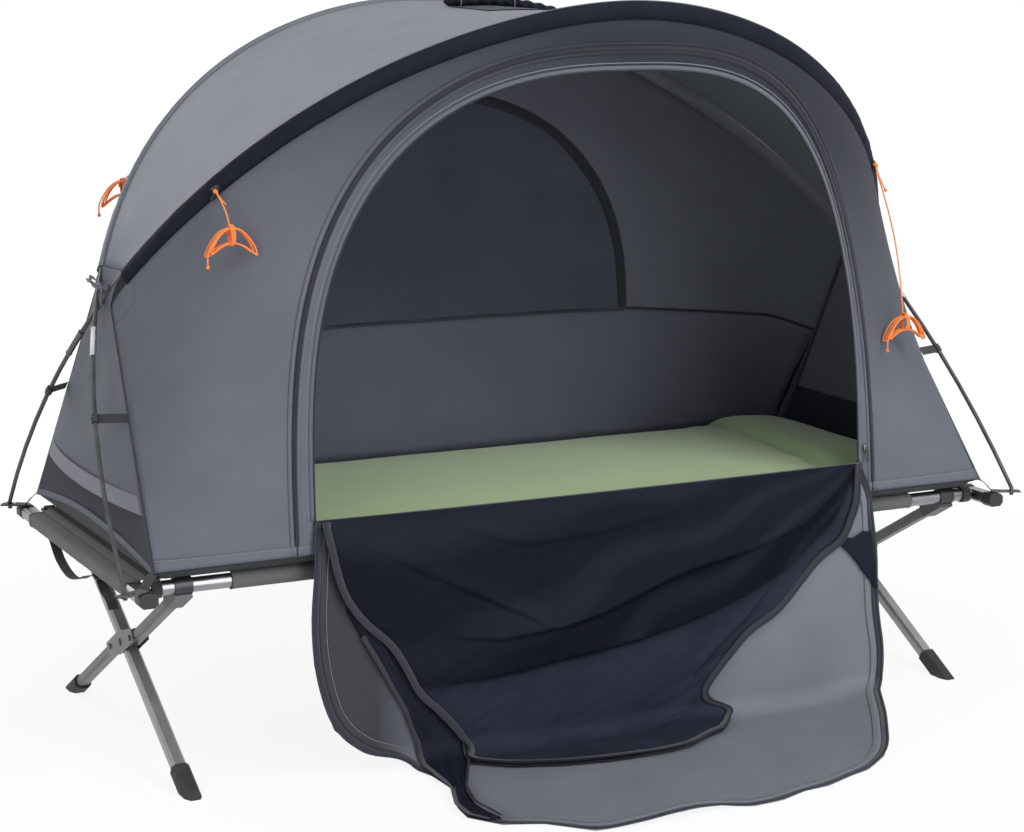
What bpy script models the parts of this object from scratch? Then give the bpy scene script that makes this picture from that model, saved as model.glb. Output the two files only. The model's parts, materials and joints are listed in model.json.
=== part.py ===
"""Tent cot: a folding camp bed on crossed legs with a two-pole tent over it.

Metres, +Z up, X along the bed (the pillow end is +X), Y across it (the open door is at -Y).
"""
import math

import bmesh
import bpy
from mathutils import Matrix, Vector

# Gaps between neighbouring pieces
FIT_GAP = 0.0003
SEAM_GAP = 0.0004
HEM_GAP = 0.0009
OVERRUN = 0.004

# Side rails and end bars
RAIL_Y = 0.350
RAIL_Z = 0.400
RAIL_RADIUS = 0.014
RAIL_WALL = 0.0015
RAIL_PLUG_LENGTH = 0.018
BAR_X = 0.950
BAR_REACH_Y = 0.4233
BAR_Z = 0.397
BAR_WIDTH = 0.032
BAR_HEIGHT = 0.024
BAR_WALL = 0.0015
BAR_CORNER = 0.005
PEG_RADIUS = 0.005
PEG_LENGTH = 0.020
CAP_WALL = 0.002
CAP_DEPTH = 0.030
CAP_FLOOR = 0.004

# Crossed legs
LEG_INSET = 0.061
PIVOT_Z = 0.205
LEG_WIDTH = 0.028
LONG_LEG_DEPTH = 0.024
SHORT_LEG_DEPTH = 0.022
LEG_WALL = 0.0015
LEG_CORNER = 0.005
SHORT_LEG_OFFSET = 0.010
SHORT_LEG_START = 0.040
LEG_TOP_GAP = 0.024
LEG_END_HEIGHT = 0.017
PLATE_THICKNESS = 0.002
PLATE_HALF_LENGTH = 0.092
PLATE_HALF_WIDTH = 0.013
PIVOT_RADIUS = 0.004
PIVOT_HEAD_RADIUS = 0.008
PIVOT_HEAD_THICKNESS = 0.003
RIVET_RADIUS = 0.003
RIVET_HEAD_RADIUS = 0.006
RIVET_HEAD_THICKNESS = 0.002
RIVET_DISTANCE = 0.070

# Brackets that hold the legs to the rails, and rubber feet
BRACKET_WALL = 0.003
BRACKET_LENGTH = 0.070
FOOT_WIDTH = 0.036
FOOT_DEPTH = 0.032
FOOT_CORNER = 0.008
FOOT_SLEEVE = 0.034

# Poles: two arches that cross over each end of the bed
POLE_RADIUS = 0.0045
POLE_FOOT_X = 0.9824
POLE_FOOT_Y = 0.428
POLE_TIP_LENGTH = 0.015
POLE_BEND_CLEARANCE = 0.006
POLE_BASE_Z = 0.409
APEX_Z = 1.456
APEX_Y = 0.508
ARCH_BELLY = 0.009
ARCH_RISE_SHARE = 0.794
ARCH_CROWN_SHARE = 0.332
POLE_CROSSING_GAP = 0.001
POLE_LOWER_STATIONS = 9

# Sleeves, roof and walls
CLOTH = 0.002
SLEEVE_START_SHARE = 0.515
SLEEVE_DEPTH = 0.045
SLEEVE_THICKNESS = 0.014
SLEEVE_ABOVE_POLE = 0.007
SLEEVE_WALL = 0.0018
SLEEVE_CORNER = 0.005
SLEEVE_STATIONS = 13
FRONT_WALL_START_SHARE = 0.475
REAR_WALL_START_SHARE = 0.502
WALL_ROWS = 3
BASE_X = 0.930
BASE_Y = 0.388
FLOOR_Z = 0.4178
RIM_Z = 0.4387
RIM_SLOPE_WIDTH = 0.034
ROOF_COLUMNS = 3
HOOD_BAND_Z = 0.530
HOOD_FOLD_Z = 0.561
HOOD_PROUD = 0.024
HOOD_TOP_SHARE = 0.72
END_WALL_COLUMNS = 4

# Door and rear window
DOOR_HALF_WIDTH = 0.612
DOOR_SILL_Z = 0.504
DOOR_TOP_Z = 1.334
DOOR_POWER = 2.7
DOOR_OUTLINE_POINTS = 14

# Bed cloth, mattress and pillow
BED_CLOTH = 0.0015
BED_HALF_LENGTH = 0.925
BED_HALF_WIDTH = 0.330
RAIL_SLEEVE_REACH = 0.770
RAIL_SLEEVE_NOTCH = 0.040
RAIL_SLEEVE_TONGUE = 0.035
SLEEVE_WRAP_DEG = 215.0
SLEEVE_WRAP_STEPS = 9
BAR_BARE_LENGTH = 0.0983
MATTRESS_HALF_LENGTH = 0.905
MATTRESS_HALF_WIDTH = 0.345
MATTRESS_HEIGHT = 0.052
PILLOW_X = 0.640
PILLOW_RISE = 0.030
PILLOW_CHANNEL_WIDTH = 0.030
PILLOW_CHANNEL_DEPTH = 0.014
MATTRESS_PULL = 0.010
MATTRESS_COLUMNS = 24
MATTRESS_ROWS = 9
MATTRESS_POWER = 6.0

# Open door, hanging from the sill to the ground and lying in front of the bed
DRAPE_HALF_WIDTH = 0.600
DRAPE_LENGTH = 1.008
DRAPE_POWER = 4.0
DRAPE_SEAT_GAP = 0.0024
DRAPE_STANDOFF = 0.014
DRAPE_STANDOFF_LENGTH = 0.080
DRAPE_BEND_RADIUS = 0.045
DRAPE_GROUND_GAP = 0.0012
DRAPE_SHIFT = 0.060
DRAPE_FOLD = 0.011
DRAPE_GROUND_FOLD = 0.014
DRAPE_TAPER_SHARE = 0.96
DRAPE_COLUMNS = 19
DRAPE_ROWS = 16
DRAPE_FOLD_TURNS = 4.0
DRAPE_FOLD_SLANT = 1.6

# Corner tabs
TAB_WIDTH = 0.025
TAB_THICKNESS = 0.002
TAB_END_LENGTH = 0.018
TAB_DROP_LENGTH = 0.024
EYELET_RADIUS = 0.0053

# Guylines tied up in hanks
CORD_DIAMETER = 0.003
CORD_TIE_SHARE = 0.69
HANK_STANDOFF = 0.003
FOOT_END_STRAND = 0.060
PILLOW_END_STRAND = 0.310
REAR_STRAND = 0.020
HANK_HALF_WIDTH = 0.050
HANK_HALF_HEIGHT = 0.014
HANK_DROOP = 0.038
HANK_SWELL_SHARE = 0.20
HANK_SWELL_TURNS = 0.38
HANK_PITCH = 0.0037
HANK_POINTS_PER_LOOP = 16
HANK_LOOPS = 5
HANK_TAIL = 0.018
STRAND_POINTS = 8
STRAND_BOW_SHARE = 0.20
TIE_GAP = 0.0008

# Zip slider on the door's edge at the pillow end
SLIDER_WIDTH = 0.012
SLIDER_LENGTH = 0.016
SLIDER_DEPTH = 0.005
SLIDER_STANDOFF = 0.0024
SLIDER_BEVEL = 0.0015
SLIDER_OUTSIDE = 0.018
SLIDER_V_SHARE = 0.12

SMALLEST_SHARE = 0.001
ROUND_SIDES = 20
SMALL_ROUND_SIDES = 12

FINISHES = {
    "aluminium": ((0.72, 0.72, 0.74), 0.35, 0.9),
    "leg metal": ((0.30, 0.30, 0.32), 0.40, 0.7),
    "plated steel": ((0.55, 0.55, 0.57), 0.35, 0.9),
    "black plastic": ((0.02, 0.02, 0.02), 0.50, 0.0),
    "rubber": ((0.02, 0.02, 0.02), 0.80, 0.0),
    "fibreglass": ((0.05, 0.05, 0.06), 0.40, 0.0),
    "light cloth": ((0.26, 0.27, 0.31), 0.85, 0.0),
    "wall cloth": ((0.16, 0.18, 0.22), 0.85, 0.0),
    "dark cloth": ((0.02, 0.025, 0.04), 0.85, 0.0),
    "bed cloth": ((0.10, 0.10, 0.105), 0.90, 0.0),
    "mattress cloth": ((0.26, 0.35, 0.19), 0.90, 0.0),
    "door cloth": ((0.14, 0.15, 0.19), 0.85, 0.0),
    "webbing": ((0.015, 0.015, 0.018), 0.85, 0.0),
    "orange cord": ((0.90, 0.28, 0.05), 0.70, 0.0),
}

LEG_ANGLE = math.atan2(RAIL_Y, RAIL_Z - PIVOT_Z)
RAIL_DISTANCE = math.hypot(RAIL_Y, RAIL_Z - PIVOT_Z)
RAIL_REACH = BAR_X - BAR_WIDTH / 2 - BED_CLOTH - 2 * FIT_GAP
TAB_Z = BAR_Z + BAR_HEIGHT / 2 + CAP_WALL + FIT_GAP + TAB_THICKNESS / 2
POLE_BEND_Z = TAB_Z + TAB_THICKNESS / 2 + POLE_BEND_CLEARANCE


def clear_scene():
    """Remove every object that the startup file brought."""
    for obj in list(bpy.data.objects):
        bpy.data.objects.remove(obj, do_unlink=True)


def add_object(name, data, finish):
    """Link a new object with its own Principled material."""
    obj = bpy.data.objects.new(name, data)
    bpy.context.scene.collection.objects.link(obj)
    colour, roughness, metallic = FINISHES[finish]
    material = bpy.data.materials.new(f"{name} {finish}")
    material.use_nodes = True
    shader = material.node_tree.nodes["Principled BSDF"]
    shader.inputs["Base Color"].default_value = (*colour, 1.0)
    shader.inputs["Roughness"].default_value = roughness
    shader.inputs["Metallic"].default_value = metallic
    data.materials.clear()
    data.materials.append(material)
    return obj


def add_empty(name, location, parent=None):
    """Link an empty that carries pieces on a joint's axis."""
    empty = bpy.data.objects.new(name, None)
    empty.location = location
    empty.parent = parent
    bpy.context.scene.collection.objects.link(empty)
    return empty


def mesh_of(bm, name):
    """Turn a bmesh into a mesh with its faces pointing out."""
    bmesh.ops.recalc_face_normals(bm, faces=bm.faces)
    mesh = bpy.data.meshes.new(name)
    bm.to_mesh(mesh)
    bm.free()
    return mesh


def loft(name, rings, finish, closed=False, smooth=False):
    """Skin rings of equal length; closed joins the last ring to the first, or else both ends are capped."""
    bm = bmesh.new()
    rows = [[bm.verts.new(point) for point in ring] for ring in rings]
    pairs = list(zip(rows, rows[1:]))
    if closed:
        pairs.append((rows[-1], rows[0]))
    for low, high in pairs:
        for i in range(len(low)):
            j = (i + 1) % len(low)
            bm.faces.new((low[i], low[j], high[j], high[i]))
    if not closed:
        bm.faces.new(rows[0])
        bm.faces.new(rows[-1])
    mesh = mesh_of(bm, name)
    if smooth:
        mesh.shade_smooth()
        mesh.set_sharp_from_angle(angle=math.radians(35))
    return add_object(name, mesh, finish)


def combine(target, tool, operation):
    """Join or cut target with tool, keep the result in target and drop the tool."""
    modifier = target.modifiers.new(operation.lower(), "BOOLEAN")
    modifier.operation = operation
    modifier.object = tool
    depsgraph = bpy.context.evaluated_depsgraph_get()
    shaped = bpy.data.meshes.new_from_object(target.evaluated_get(depsgraph))
    target.modifiers.clear()
    target.data = shaped
    bpy.data.objects.remove(tool, do_unlink=True)
    return target


def seat(obj, parent, turn=0.0, place=(0.0, 0.0, 0.0)):
    """Parent an object, turned about X and placed in its parent's frame."""
    obj.parent = parent
    obj.location = place
    obj.rotation_euler = (turn, 0.0, 0.0)
    return obj


def rounded_outline(width, height, corner, steps=1):
    """Return the points of a rectangle with rounded corners, anticlockwise."""
    corner = min(corner, 0.49 * width, 0.49 * height)
    points = []
    for index, (sx, sy) in enumerate(((1, 1), (-1, 1), (-1, -1), (1, -1))):
        centre_x = sx * (width / 2 - corner)
        centre_y = sy * (height / 2 - corner)
        for step in range(steps + 1):
            angle = math.radians(90 * index + 90 * step / steps)
            points.append((centre_x + corner * math.cos(angle), centre_y + corner * math.sin(angle)))
    return points


def circle_outline(radius, sides):
    """Return the points of a circle."""
    return [
        (radius * math.cos(2 * math.pi * i / sides), radius * math.sin(2 * math.pi * i / sides))
        for i in range(sides)
    ]


def ring_z(outline, z, x=0.0, y=0.0):
    """Place an outline across Z."""
    return [(x + a, y + b, z) for a, b in outline]


def ring_x(outline, x, y=0.0, z=0.0):
    """Place an outline across X."""
    return [(x, y + a, z + b) for a, b in outline]


def ring_y(outline, y, x=0.0, z=0.0):
    """Place an outline across Y."""
    return [(x + a, y, z + b) for a, b in outline]


def cylinder_x(name, radius, low, high, y, z, sides, finish="plated steel"):
    """Make a round bar along X."""
    outline = circle_outline(radius, sides)
    return loft(name, [ring_x(outline, low, y, z), ring_x(outline, high, y, z)], finish)


def box_tool(name, low, high, finish="plated steel"):
    """Make a box between two corners."""
    outline = [(low[0], low[1]), (high[0], low[1]), (high[0], high[1]), (low[0], high[1])]
    return loft(name, [ring_z(outline, low[2]), ring_z(outline, high[2])], finish)


def arch_share(t):
    """Return an arch's distance from the middle plane and its share of the rise, from foot to apex."""
    weights = ((1 - t) ** 3, 3 * t * (1 - t) ** 2, 3 * t * t * (1 - t), t**3)
    reaches = (POLE_FOOT_X, POLE_FOOT_X + ARCH_BELLY, ARCH_CROWN_SHARE * POLE_FOOT_X, 0.0)
    rises = (0.0, ARCH_RISE_SHARE, 1.0, 1.0)
    x = sum(w * reach for w, reach in zip(weights, reaches))
    share = sum(w * rise for w, rise in zip(weights, rises))
    return x, share


def arch_parameter(share):
    """Find the parameter at which an arch has risen by a share."""
    low, high = 0.0, 1.0
    for _ in range(50):
        middle = (low + high) / 2
        if arch_share(middle)[1] < share:
            low = middle
        else:
            high = middle
    return (low + high) / 2


def pole_bend_parameter():
    """Find the parameter at which a pole bends down into its corner tab."""
    return arch_parameter((POLE_BEND_Z - POLE_BASE_Z) / (APEX_Z - POLE_BASE_Z))


def arch_point(front, side, t):
    """Return a point of the front or rear arch's centre line, at the -X or +X side."""
    x, share = arch_share(t)
    crossing = arch_share(arch_parameter(POLE_FOOT_Y / (POLE_FOOT_Y + APEX_Y)))[0]
    if not front:
        x *= 1 + (2 * POLE_RADIUS + POLE_CROSSING_GAP) / crossing
    across = POLE_FOOT_Y - (POLE_FOOT_Y + APEX_Y) * share
    z = POLE_BASE_Z + share * (APEX_Z - POLE_BASE_Z)
    return Vector((side * x, across if front else -across, z))


def arch_stations(front, start_share, count):
    """Return points from a start share at -X over the apex to the same share at +X."""
    start = arch_parameter(start_share)
    stations = []
    for i in range(-count, count + 1):
        side = -1 if i < 0 else 1
        stations.append(arch_point(front, side, 1 - (1 - start) * abs(i) / count))
    return stations


def wall_start(front):
    """Return the share of the rise at which a long wall's upper edge starts."""
    return FRONT_WALL_START_SHARE if front else REAR_WALL_START_SHARE


def hem_point(front, place):
    """Return the foot of the wall's straight line that ends at an arch point."""
    limit = arch_point(front, 1, arch_parameter(wall_start(front))).x
    reach = max(-1.0, min(1.0, place.x / limit))
    return Vector((reach * BASE_X, -BASE_Y if front else BASE_Y, RIM_Z + HEM_GAP))


def arch_frames(front, stations):
    """Return each station with its direction down the wall and its direction across the sleeve."""
    frames = []
    for i, place in enumerate(stations):
        before = stations[max(0, i - 1)]
        after = stations[min(len(stations) - 1, i + 1)]
        along = (after - before).normalized()
        down = hem_point(front, place) - place
        down = (down - along * down.dot(along)).normalized()
        frames.append((place, down, along.cross(down).normalized()))
    return frames


def wall_frames(front):
    """Return the frames along a long wall's upper edge; all but the first and last belong to the sleeve."""
    start = arch_parameter(wall_start(front))
    stations = arch_stations(front, SLEEVE_START_SHARE, SLEEVE_STATIONS)
    ends = arch_point(front, -1, start), arch_point(front, 1, start)
    return arch_frames(front, [ends[0], *stations, ends[1]])


def make_rail(name, y, outward, parent):
    """Make a side rail: a tube with plugged ends, each slotted so that it leaves the bar's peg sideways."""
    bore = PEG_RADIUS + FIT_GAP
    inner = RAIL_RADIUS - RAIL_WALL
    plug = RAIL_REACH - RAIL_PLUG_LENGTH
    half_slot = PEG_RADIUS + FIT_GAP / 2
    profile = (
        (-RAIL_REACH, bore),
        (-RAIL_REACH, RAIL_RADIUS),
        (RAIL_REACH, RAIL_RADIUS),
        (RAIL_REACH, bore),
        (plug, bore),
        (plug, inner),
        (-plug, inner),
        (-plug, bore),
    )
    rings = [ring_x(circle_outline(radius, ROUND_SIDES), x) for x, radius in profile]
    rail = loft(name, rings, "aluminium", closed=True, smooth=True)
    for side in (-1, 1):
        ends = sorted((side * (RAIL_REACH + OVERRUN), side * (RAIL_REACH - PEG_LENGTH - FIT_GAP)))
        sides = sorted((0.0, outward * (RAIL_RADIUS + OVERRUN)))
        slot = box_tool("slot", (ends[0], sides[0], -half_slot), (ends[1], sides[1], half_slot))
        combine(rail, slot, "DIFFERENCE")
    return seat(rail, parent, place=(0.0, y, RAIL_Z - PIVOT_Z))


def make_end_bar(name, side, parent):
    """Make an end bar: a hollow bar with two pegs that enter the rails."""
    outer = rounded_outline(BAR_WIDTH, BAR_HEIGHT, BAR_CORNER)
    inner = rounded_outline(BAR_WIDTH - 2 * BAR_WALL, BAR_HEIGHT - 2 * BAR_WALL, BAR_CORNER - BAR_WALL)
    end = BAR_REACH_Y - CAP_FLOOR - FIT_GAP
    rings = [ring_y(outer, -end), ring_y(outer, end), ring_y(inner, end), ring_y(inner, -end)]
    bar = loft(name, rings, "aluminium", closed=True)
    for y in (-RAIL_Y, RAIL_Y):
        ends = sorted((-side * (BAR_WIDTH / 2 - BAR_WALL / 2), -side * (BAR_WIDTH / 2 + PEG_LENGTH)))
        peg = cylinder_x("peg", PEG_RADIUS, ends[0], ends[1], y, RAIL_Z - BAR_Z, SMALL_ROUND_SIDES)
        combine(bar, peg, "UNION")
    return seat(bar, parent, place=(side * BAR_X, 0.0, BAR_Z))


def make_bar_cap(name, side, end, parent):
    """Make the plastic cap on one end of an end bar."""
    outer = rounded_outline(BAR_WIDTH + 2 * CAP_WALL, BAR_HEIGHT + 2 * CAP_WALL, BAR_CORNER + CAP_WALL)
    pocket = rounded_outline(BAR_WIDTH + 2 * FIT_GAP, BAR_HEIGHT + 2 * FIT_GAP, BAR_CORNER)
    rings = [
        ring_y(outer, end * BAR_REACH_Y),
        ring_y(outer, end * (BAR_REACH_Y - CAP_DEPTH)),
        ring_y(pocket, end * (BAR_REACH_Y - CAP_DEPTH)),
        ring_y(pocket, end * (BAR_REACH_Y - CAP_FLOOR)),
    ]
    cap = loft(name, rings, "black plastic")
    return seat(cap, parent, place=(side * BAR_X, 0.0, BAR_Z))


def leg_tube(name, depth, low, high, offset):
    """Make a leg's tube along local Z, offset across the leg."""
    outer = rounded_outline(LEG_WIDTH, depth, LEG_CORNER)
    inner = rounded_outline(LEG_WIDTH - 2 * LEG_WALL, depth - 2 * LEG_WALL, LEG_CORNER - LEG_WALL)
    rings = [ring_z(outer, low, y=offset), ring_z(outer, high, y=offset)]
    rings += [ring_z(inner, high, y=offset), ring_z(inner, low, y=offset)]
    return loft(name, rings, "leg metal", closed=True)


def drill(leg, radius, y, z):
    """Drill a hole through a leg's tube along X."""
    reach = LEG_WIDTH / 2 + OVERRUN
    tool = cylinder_x("drill", radius, -reach, reach, y, z, SMALL_ROUND_SIDES)
    return combine(leg, tool, "DIFFERENCE")


def leg_end(offset, rises):
    """Return the local height of a leg's lower end, where its middle is LEG_END_HEIGHT above the ground."""
    lift = offset * math.sin(LEG_ANGLE) * rises
    return -(PIVOT_Z + lift - LEG_END_HEIGHT) / math.cos(LEG_ANGLE)


def make_long_leg(name, x, parent):
    """Make the leg that runs whole from a front foot to the back rail."""
    leg = leg_tube(name, LONG_LEG_DEPTH, leg_end(0.0, -1), RAIL_DISTANCE - LEG_TOP_GAP, 0.0)
    drill(leg, PIVOT_RADIUS + FIT_GAP, 0.0, 0.0)
    return seat(leg, parent, turn=-LEG_ANGLE, place=(x, 0.0, 0.0))


def make_short_leg(name, x, upper, parent):
    """Make the upper or the lower half of the leg that is split at the crossing."""
    if upper:
        offset = -SHORT_LEG_OFFSET
        low, high = SHORT_LEG_START, RAIL_DISTANCE - LEG_TOP_GAP
        hole = RIVET_DISTANCE
    else:
        offset = SHORT_LEG_OFFSET
        low, high = leg_end(offset, 1), -SHORT_LEG_START
        hole = -RIVET_DISTANCE
    leg = leg_tube(name, SHORT_LEG_DEPTH, low, high, offset)
    drill(leg, RIVET_RADIUS + FIT_GAP, offset, hole)
    return seat(leg, parent, turn=LEG_ANGLE, place=(x, 0.0, 0.0))


def plate_outline():
    """Return the outline of the stamped plate that joins the two short legs past the crossing."""
    top = PLATE_HALF_LENGTH
    middle = SHORT_LEG_OFFSET + PLATE_HALF_WIDTH
    return [
        (-middle, top),
        (-SHORT_LEG_OFFSET + PLATE_HALF_WIDTH, top),
        (middle, PIVOT_HEAD_RADIUS),
        (middle, -top),
        (SHORT_LEG_OFFSET - PLATE_HALF_WIDTH, -top),
        (-middle, -PIVOT_HEAD_RADIUS),
    ]


def make_crossing_bracket(name, x, parent):
    """Make the pair of plates at the crossing, held together by the rivets through the short legs."""
    inner = LEG_WIDTH / 2 + FIT_GAP
    outer = inner + PLATE_THICKNESS
    plates = []
    for side in (-1, 1):
        rings = [ring_x(plate_outline(), side * inner), ring_x(plate_outline(), side * outer)]
        plates.append(loft(name if side < 0 else "plate", rings, "leg metal"))
        hole = PIVOT_RADIUS + FIT_GAP
        tool = cylinder_x("hole", hole, -outer - OVERRUN, outer + OVERRUN, 0.0, 0.0, SMALL_ROUND_SIDES)
        combine(plates[-1], tool, "DIFFERENCE")
    bracket = plates[0]
    for z, y in ((RIVET_DISTANCE, -SHORT_LEG_OFFSET), (-RIVET_DISTANCE, SHORT_LEG_OFFSET)):
        reach = outer + RIVET_HEAD_THICKNESS
        pin = cylinder_x("pin", RIVET_RADIUS, -reach, reach, y, z, SMALL_ROUND_SIDES)
        combine(bracket, pin, "UNION")
        for side in (-1, 1):
            ends = sorted((side * (outer - PLATE_THICKNESS / 2), side * (reach + PLATE_THICKNESS / 2)))
            head = cylinder_x("head", RIVET_HEAD_RADIUS, ends[0], ends[1], y, z, SMALL_ROUND_SIDES)
            combine(bracket, head, "UNION")
    combine(bracket, plates[1], "UNION")
    return seat(bracket, parent, turn=LEG_ANGLE, place=(x, 0.0, 0.0))


def make_pivot_rivet(name, x, parent):
    """Make the rivet on which the legs turn."""
    shank = LEG_WIDTH / 2 + PLATE_THICKNESS + 2 * FIT_GAP
    end = shank + PIVOT_HEAD_THICKNESS
    profile = (
        (-end, PIVOT_HEAD_RADIUS / 2),
        (-shank - PIVOT_HEAD_THICKNESS / 3, PIVOT_HEAD_RADIUS),
        (-shank, PIVOT_HEAD_RADIUS),
        (-shank, PIVOT_RADIUS),
        (shank, PIVOT_RADIUS),
        (shank, PIVOT_HEAD_RADIUS),
        (shank + PIVOT_HEAD_THICKNESS / 3, PIVOT_HEAD_RADIUS),
        (end, PIVOT_HEAD_RADIUS / 2),
    )
    rings = [ring_x(circle_outline(radius, SMALL_ROUND_SIDES), at) for at, radius in profile]
    return seat(loft(name, rings, "plated steel", smooth=True), parent, place=(x, 0.0, 0.0))


def make_rail_bracket(name, x, turn, offset, depth, parent):
    """Make the bracket that wraps a rail and holds a leg's top end."""
    half = LEG_WIDTH / 2 + FIT_GAP + BRACKET_WALL
    side = depth / 2 + FIT_GAP + BRACKET_WALL
    low = RAIL_DISTANCE - BRACKET_LENGTH
    bracket = box_tool(name, (-half, offset - side, low), (half, offset + side, RAIL_DISTANCE), "leg metal")
    ring = RAIL_RADIUS + FIT_GAP + BRACKET_WALL
    tool = cylinder_x("ring", ring, -half, half, 0.0, RAIL_DISTANCE, ROUND_SIDES)
    combine(bracket, tool, "UNION")
    bore = RAIL_RADIUS + FIT_GAP
    reach = half + OVERRUN
    tool = cylinder_x("bore", bore, -reach, reach, 0.0, RAIL_DISTANCE, ROUND_SIDES)
    combine(bracket, tool, "DIFFERENCE")
    pocket_x = LEG_WIDTH / 2 + FIT_GAP
    pocket_y = depth / 2 + FIT_GAP
    top = RAIL_DISTANCE - LEG_TOP_GAP + FIT_GAP
    low_corner = (-pocket_x, offset - pocket_y, low - OVERRUN)
    tool = box_tool("pocket", low_corner, (pocket_x, offset + pocket_y, top))
    combine(bracket, tool, "DIFFERENCE")
    return seat(bracket, parent, turn=turn, place=(x, 0.0, 0.0))


def make_foot(name, x, turn, offset, depth, parent):
    """Make a rubber foot: a cup on the leg's end with a flat sole on the ground."""
    rises = 1 if turn > 0 else -1
    end = leg_end(offset, rises)
    outer = rounded_outline(FOOT_WIDTH, FOOT_DEPTH, FOOT_CORNER)
    pocket = rounded_outline(LEG_WIDTH + 2 * FIT_GAP, depth + 2 * FIT_GAP, LEG_CORNER)
    sole = []
    for a, b in outer:
        across = offset + b
        sole.append((a, across, -(PIVOT_Z + rises * across * math.sin(LEG_ANGLE)) / math.cos(LEG_ANGLE)))
    rings = [
        sole,
        ring_z(outer, end + FOOT_SLEEVE, y=offset),
        ring_z(pocket, end + FOOT_SLEEVE, y=offset),
        ring_z(pocket, end - FIT_GAP, y=offset),
    ]
    return seat(loft(name, rings, "rubber"), parent, turn=turn, place=(x, 0.0, 0.0))


def make_tube(name, points, radius, resolution, finish):
    """Make a round tube along points, with its ends filled."""
    curve = bpy.data.curves.new(name, "CURVE")
    curve.dimensions = "3D"
    curve.bevel_depth = radius
    curve.bevel_resolution = resolution
    curve.use_fill_caps = True
    spline = curve.splines.new("POLY")
    spline.points.add(len(points) - 1)
    for node, place in zip(spline.points, points):
        node.co = (*place, 1.0)
    return add_object(name, curve, finish)


def make_pole(name, front, parent):
    """Make one arched pole with its tips; the stations inside the sleeve are the sleeve's own."""
    bend = pole_bend_parameter()
    start = arch_parameter(SLEEVE_START_SHARE)
    tip = Vector((0.0, 0.0, POLE_TIP_LENGTH))
    lower = [bend + (start - bend) * i / POLE_LOWER_STATIONS for i in range(POLE_LOWER_STATIONS)]
    left = [arch_point(front, -1, t) for t in lower]
    right = [arch_point(front, 1, t) for t in reversed(lower)]
    upper = arch_stations(front, SLEEVE_START_SHARE, SLEEVE_STATIONS)
    points = [left[0] - tip, *left, *upper, *right, right[-1] - tip]
    return seat(make_tube(name, points, POLE_RADIUS, 2, "fibreglass"), parent)


def make_pole_sleeve(name, front, finish, parent):
    """Make the sewn sleeve through which a pole runs, a flat tube that hangs below the pole."""
    outer = rounded_outline(SLEEVE_DEPTH, SLEEVE_THICKNESS, SLEEVE_CORNER)
    inner = rounded_outline(
        SLEEVE_DEPTH - 2 * SLEEVE_WALL, SLEEVE_THICKNESS - 2 * SLEEVE_WALL, SLEEVE_CORNER - SLEEVE_WALL
    )
    drop = SLEEVE_DEPTH / 2 - SLEEVE_ABOVE_POLE
    frames = wall_frames(front)[1:-1]
    rings = []
    for outline, order in ((outer, frames), (inner, frames[::-1])):
        for place, down, across in order:
            rings.append([place + down * (drop + a) + across * b for a, b in outline])
    return seat(loft(name, rings, finish, closed=True), parent)


def sheet_object(name, grid, thickness, finish, offset=0.0):
    """Make a closed sheet from a grid of points, thickened with a Solidify modifier."""
    bm = bmesh.new()
    rows = [[bm.verts.new(point) for point in row] for row in grid]
    for low, high in zip(rows, rows[1:]):
        for i in range(len(low) - 1):
            bm.faces.new((low[i], low[i + 1], high[i + 1], high[i]))
    mesh = mesh_of(bm, name)
    sheet = add_object(name, mesh, finish)
    modifier = sheet.modifiers.new("thickness", "SOLIDIFY")
    modifier.thickness = thickness
    modifier.offset = offset
    modifier.use_even_offset = False
    return sheet


def wall_grid(front):
    """Return the wall's points in rows from its hem to the lower edge of the pole sleeve."""
    frames = wall_frames(front)
    drop = SLEEVE_DEPTH - SLEEVE_ABOVE_POLE + SEAM_GAP
    rows = []
    for row in range(WALL_ROWS + 1):
        share = row / WALL_ROWS
        line = []
        for place, down, _ in frames:
            hem = hem_point(front, place)
            line.append(hem.lerp(place + down * drop, share))
        rows.append(line)
    return rows


def door_outline():
    """Return the door's D shape across the wall, from one end of its sill over the top to the other."""
    height = DOOR_TOP_Z - DOOR_SILL_Z
    points = []
    for i in range(DOOR_OUTLINE_POINTS + 1):
        angle = math.pi * i / DOOR_OUTLINE_POINTS
        power = 2 / DOOR_POWER
        across = math.copysign(abs(math.cos(angle)) ** power, math.cos(angle))
        points.append((DOOR_HALF_WIDTH * across, DOOR_SILL_Z + height * abs(math.sin(angle)) ** power))
    return points


def make_wall(name, front, parent):
    """Make a long wall; the front one has the door's opening."""
    wall = sheet_object(name, wall_grid(front), CLOTH, "wall cloth")
    if front:
        outline = door_outline()
        deep = APEX_Y + BASE_Y
        rings = [ring_y(outline, -deep), ring_y(outline, 0.0)]
        combine(wall, loft("door cutter", rings, "wall cloth"), "DIFFERENCE")
    return seat(wall, parent)


def roof_edge(front):
    """Return the points where the roof meets a sleeve, just clear of it on the side of the other arch."""
    edge = []
    for place, down, across in wall_frames(front)[1:-1]:
        along = down.cross(across)
        toward = Vector((0.0, 1.0 if front else -1.0, 0.0))
        toward = (toward - along * toward.dot(along)).normalized()
        above = SLEEVE_ABOVE_POLE / max(abs(toward.dot(down)), SMALLEST_SHARE)
        beside = SLEEVE_THICKNESS / 2 / max(abs(toward.dot(across)), SMALLEST_SHARE)
        edge.append(place + toward * (min(above, beside) + SEAM_GAP + CLOTH / 4))
    return edge


def make_roof(name, parent):
    """Make the roof: a sheet between the two sleeves, over the whole arch."""
    grid = []
    for low, high in zip(roof_edge(True), roof_edge(False)):
        grid.append([low.lerp(high, column / ROOF_COLUMNS) for column in range(ROOF_COLUMNS + 1)])
    return seat(sheet_object(name, grid, CLOTH, "light cloth"), parent)


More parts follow.
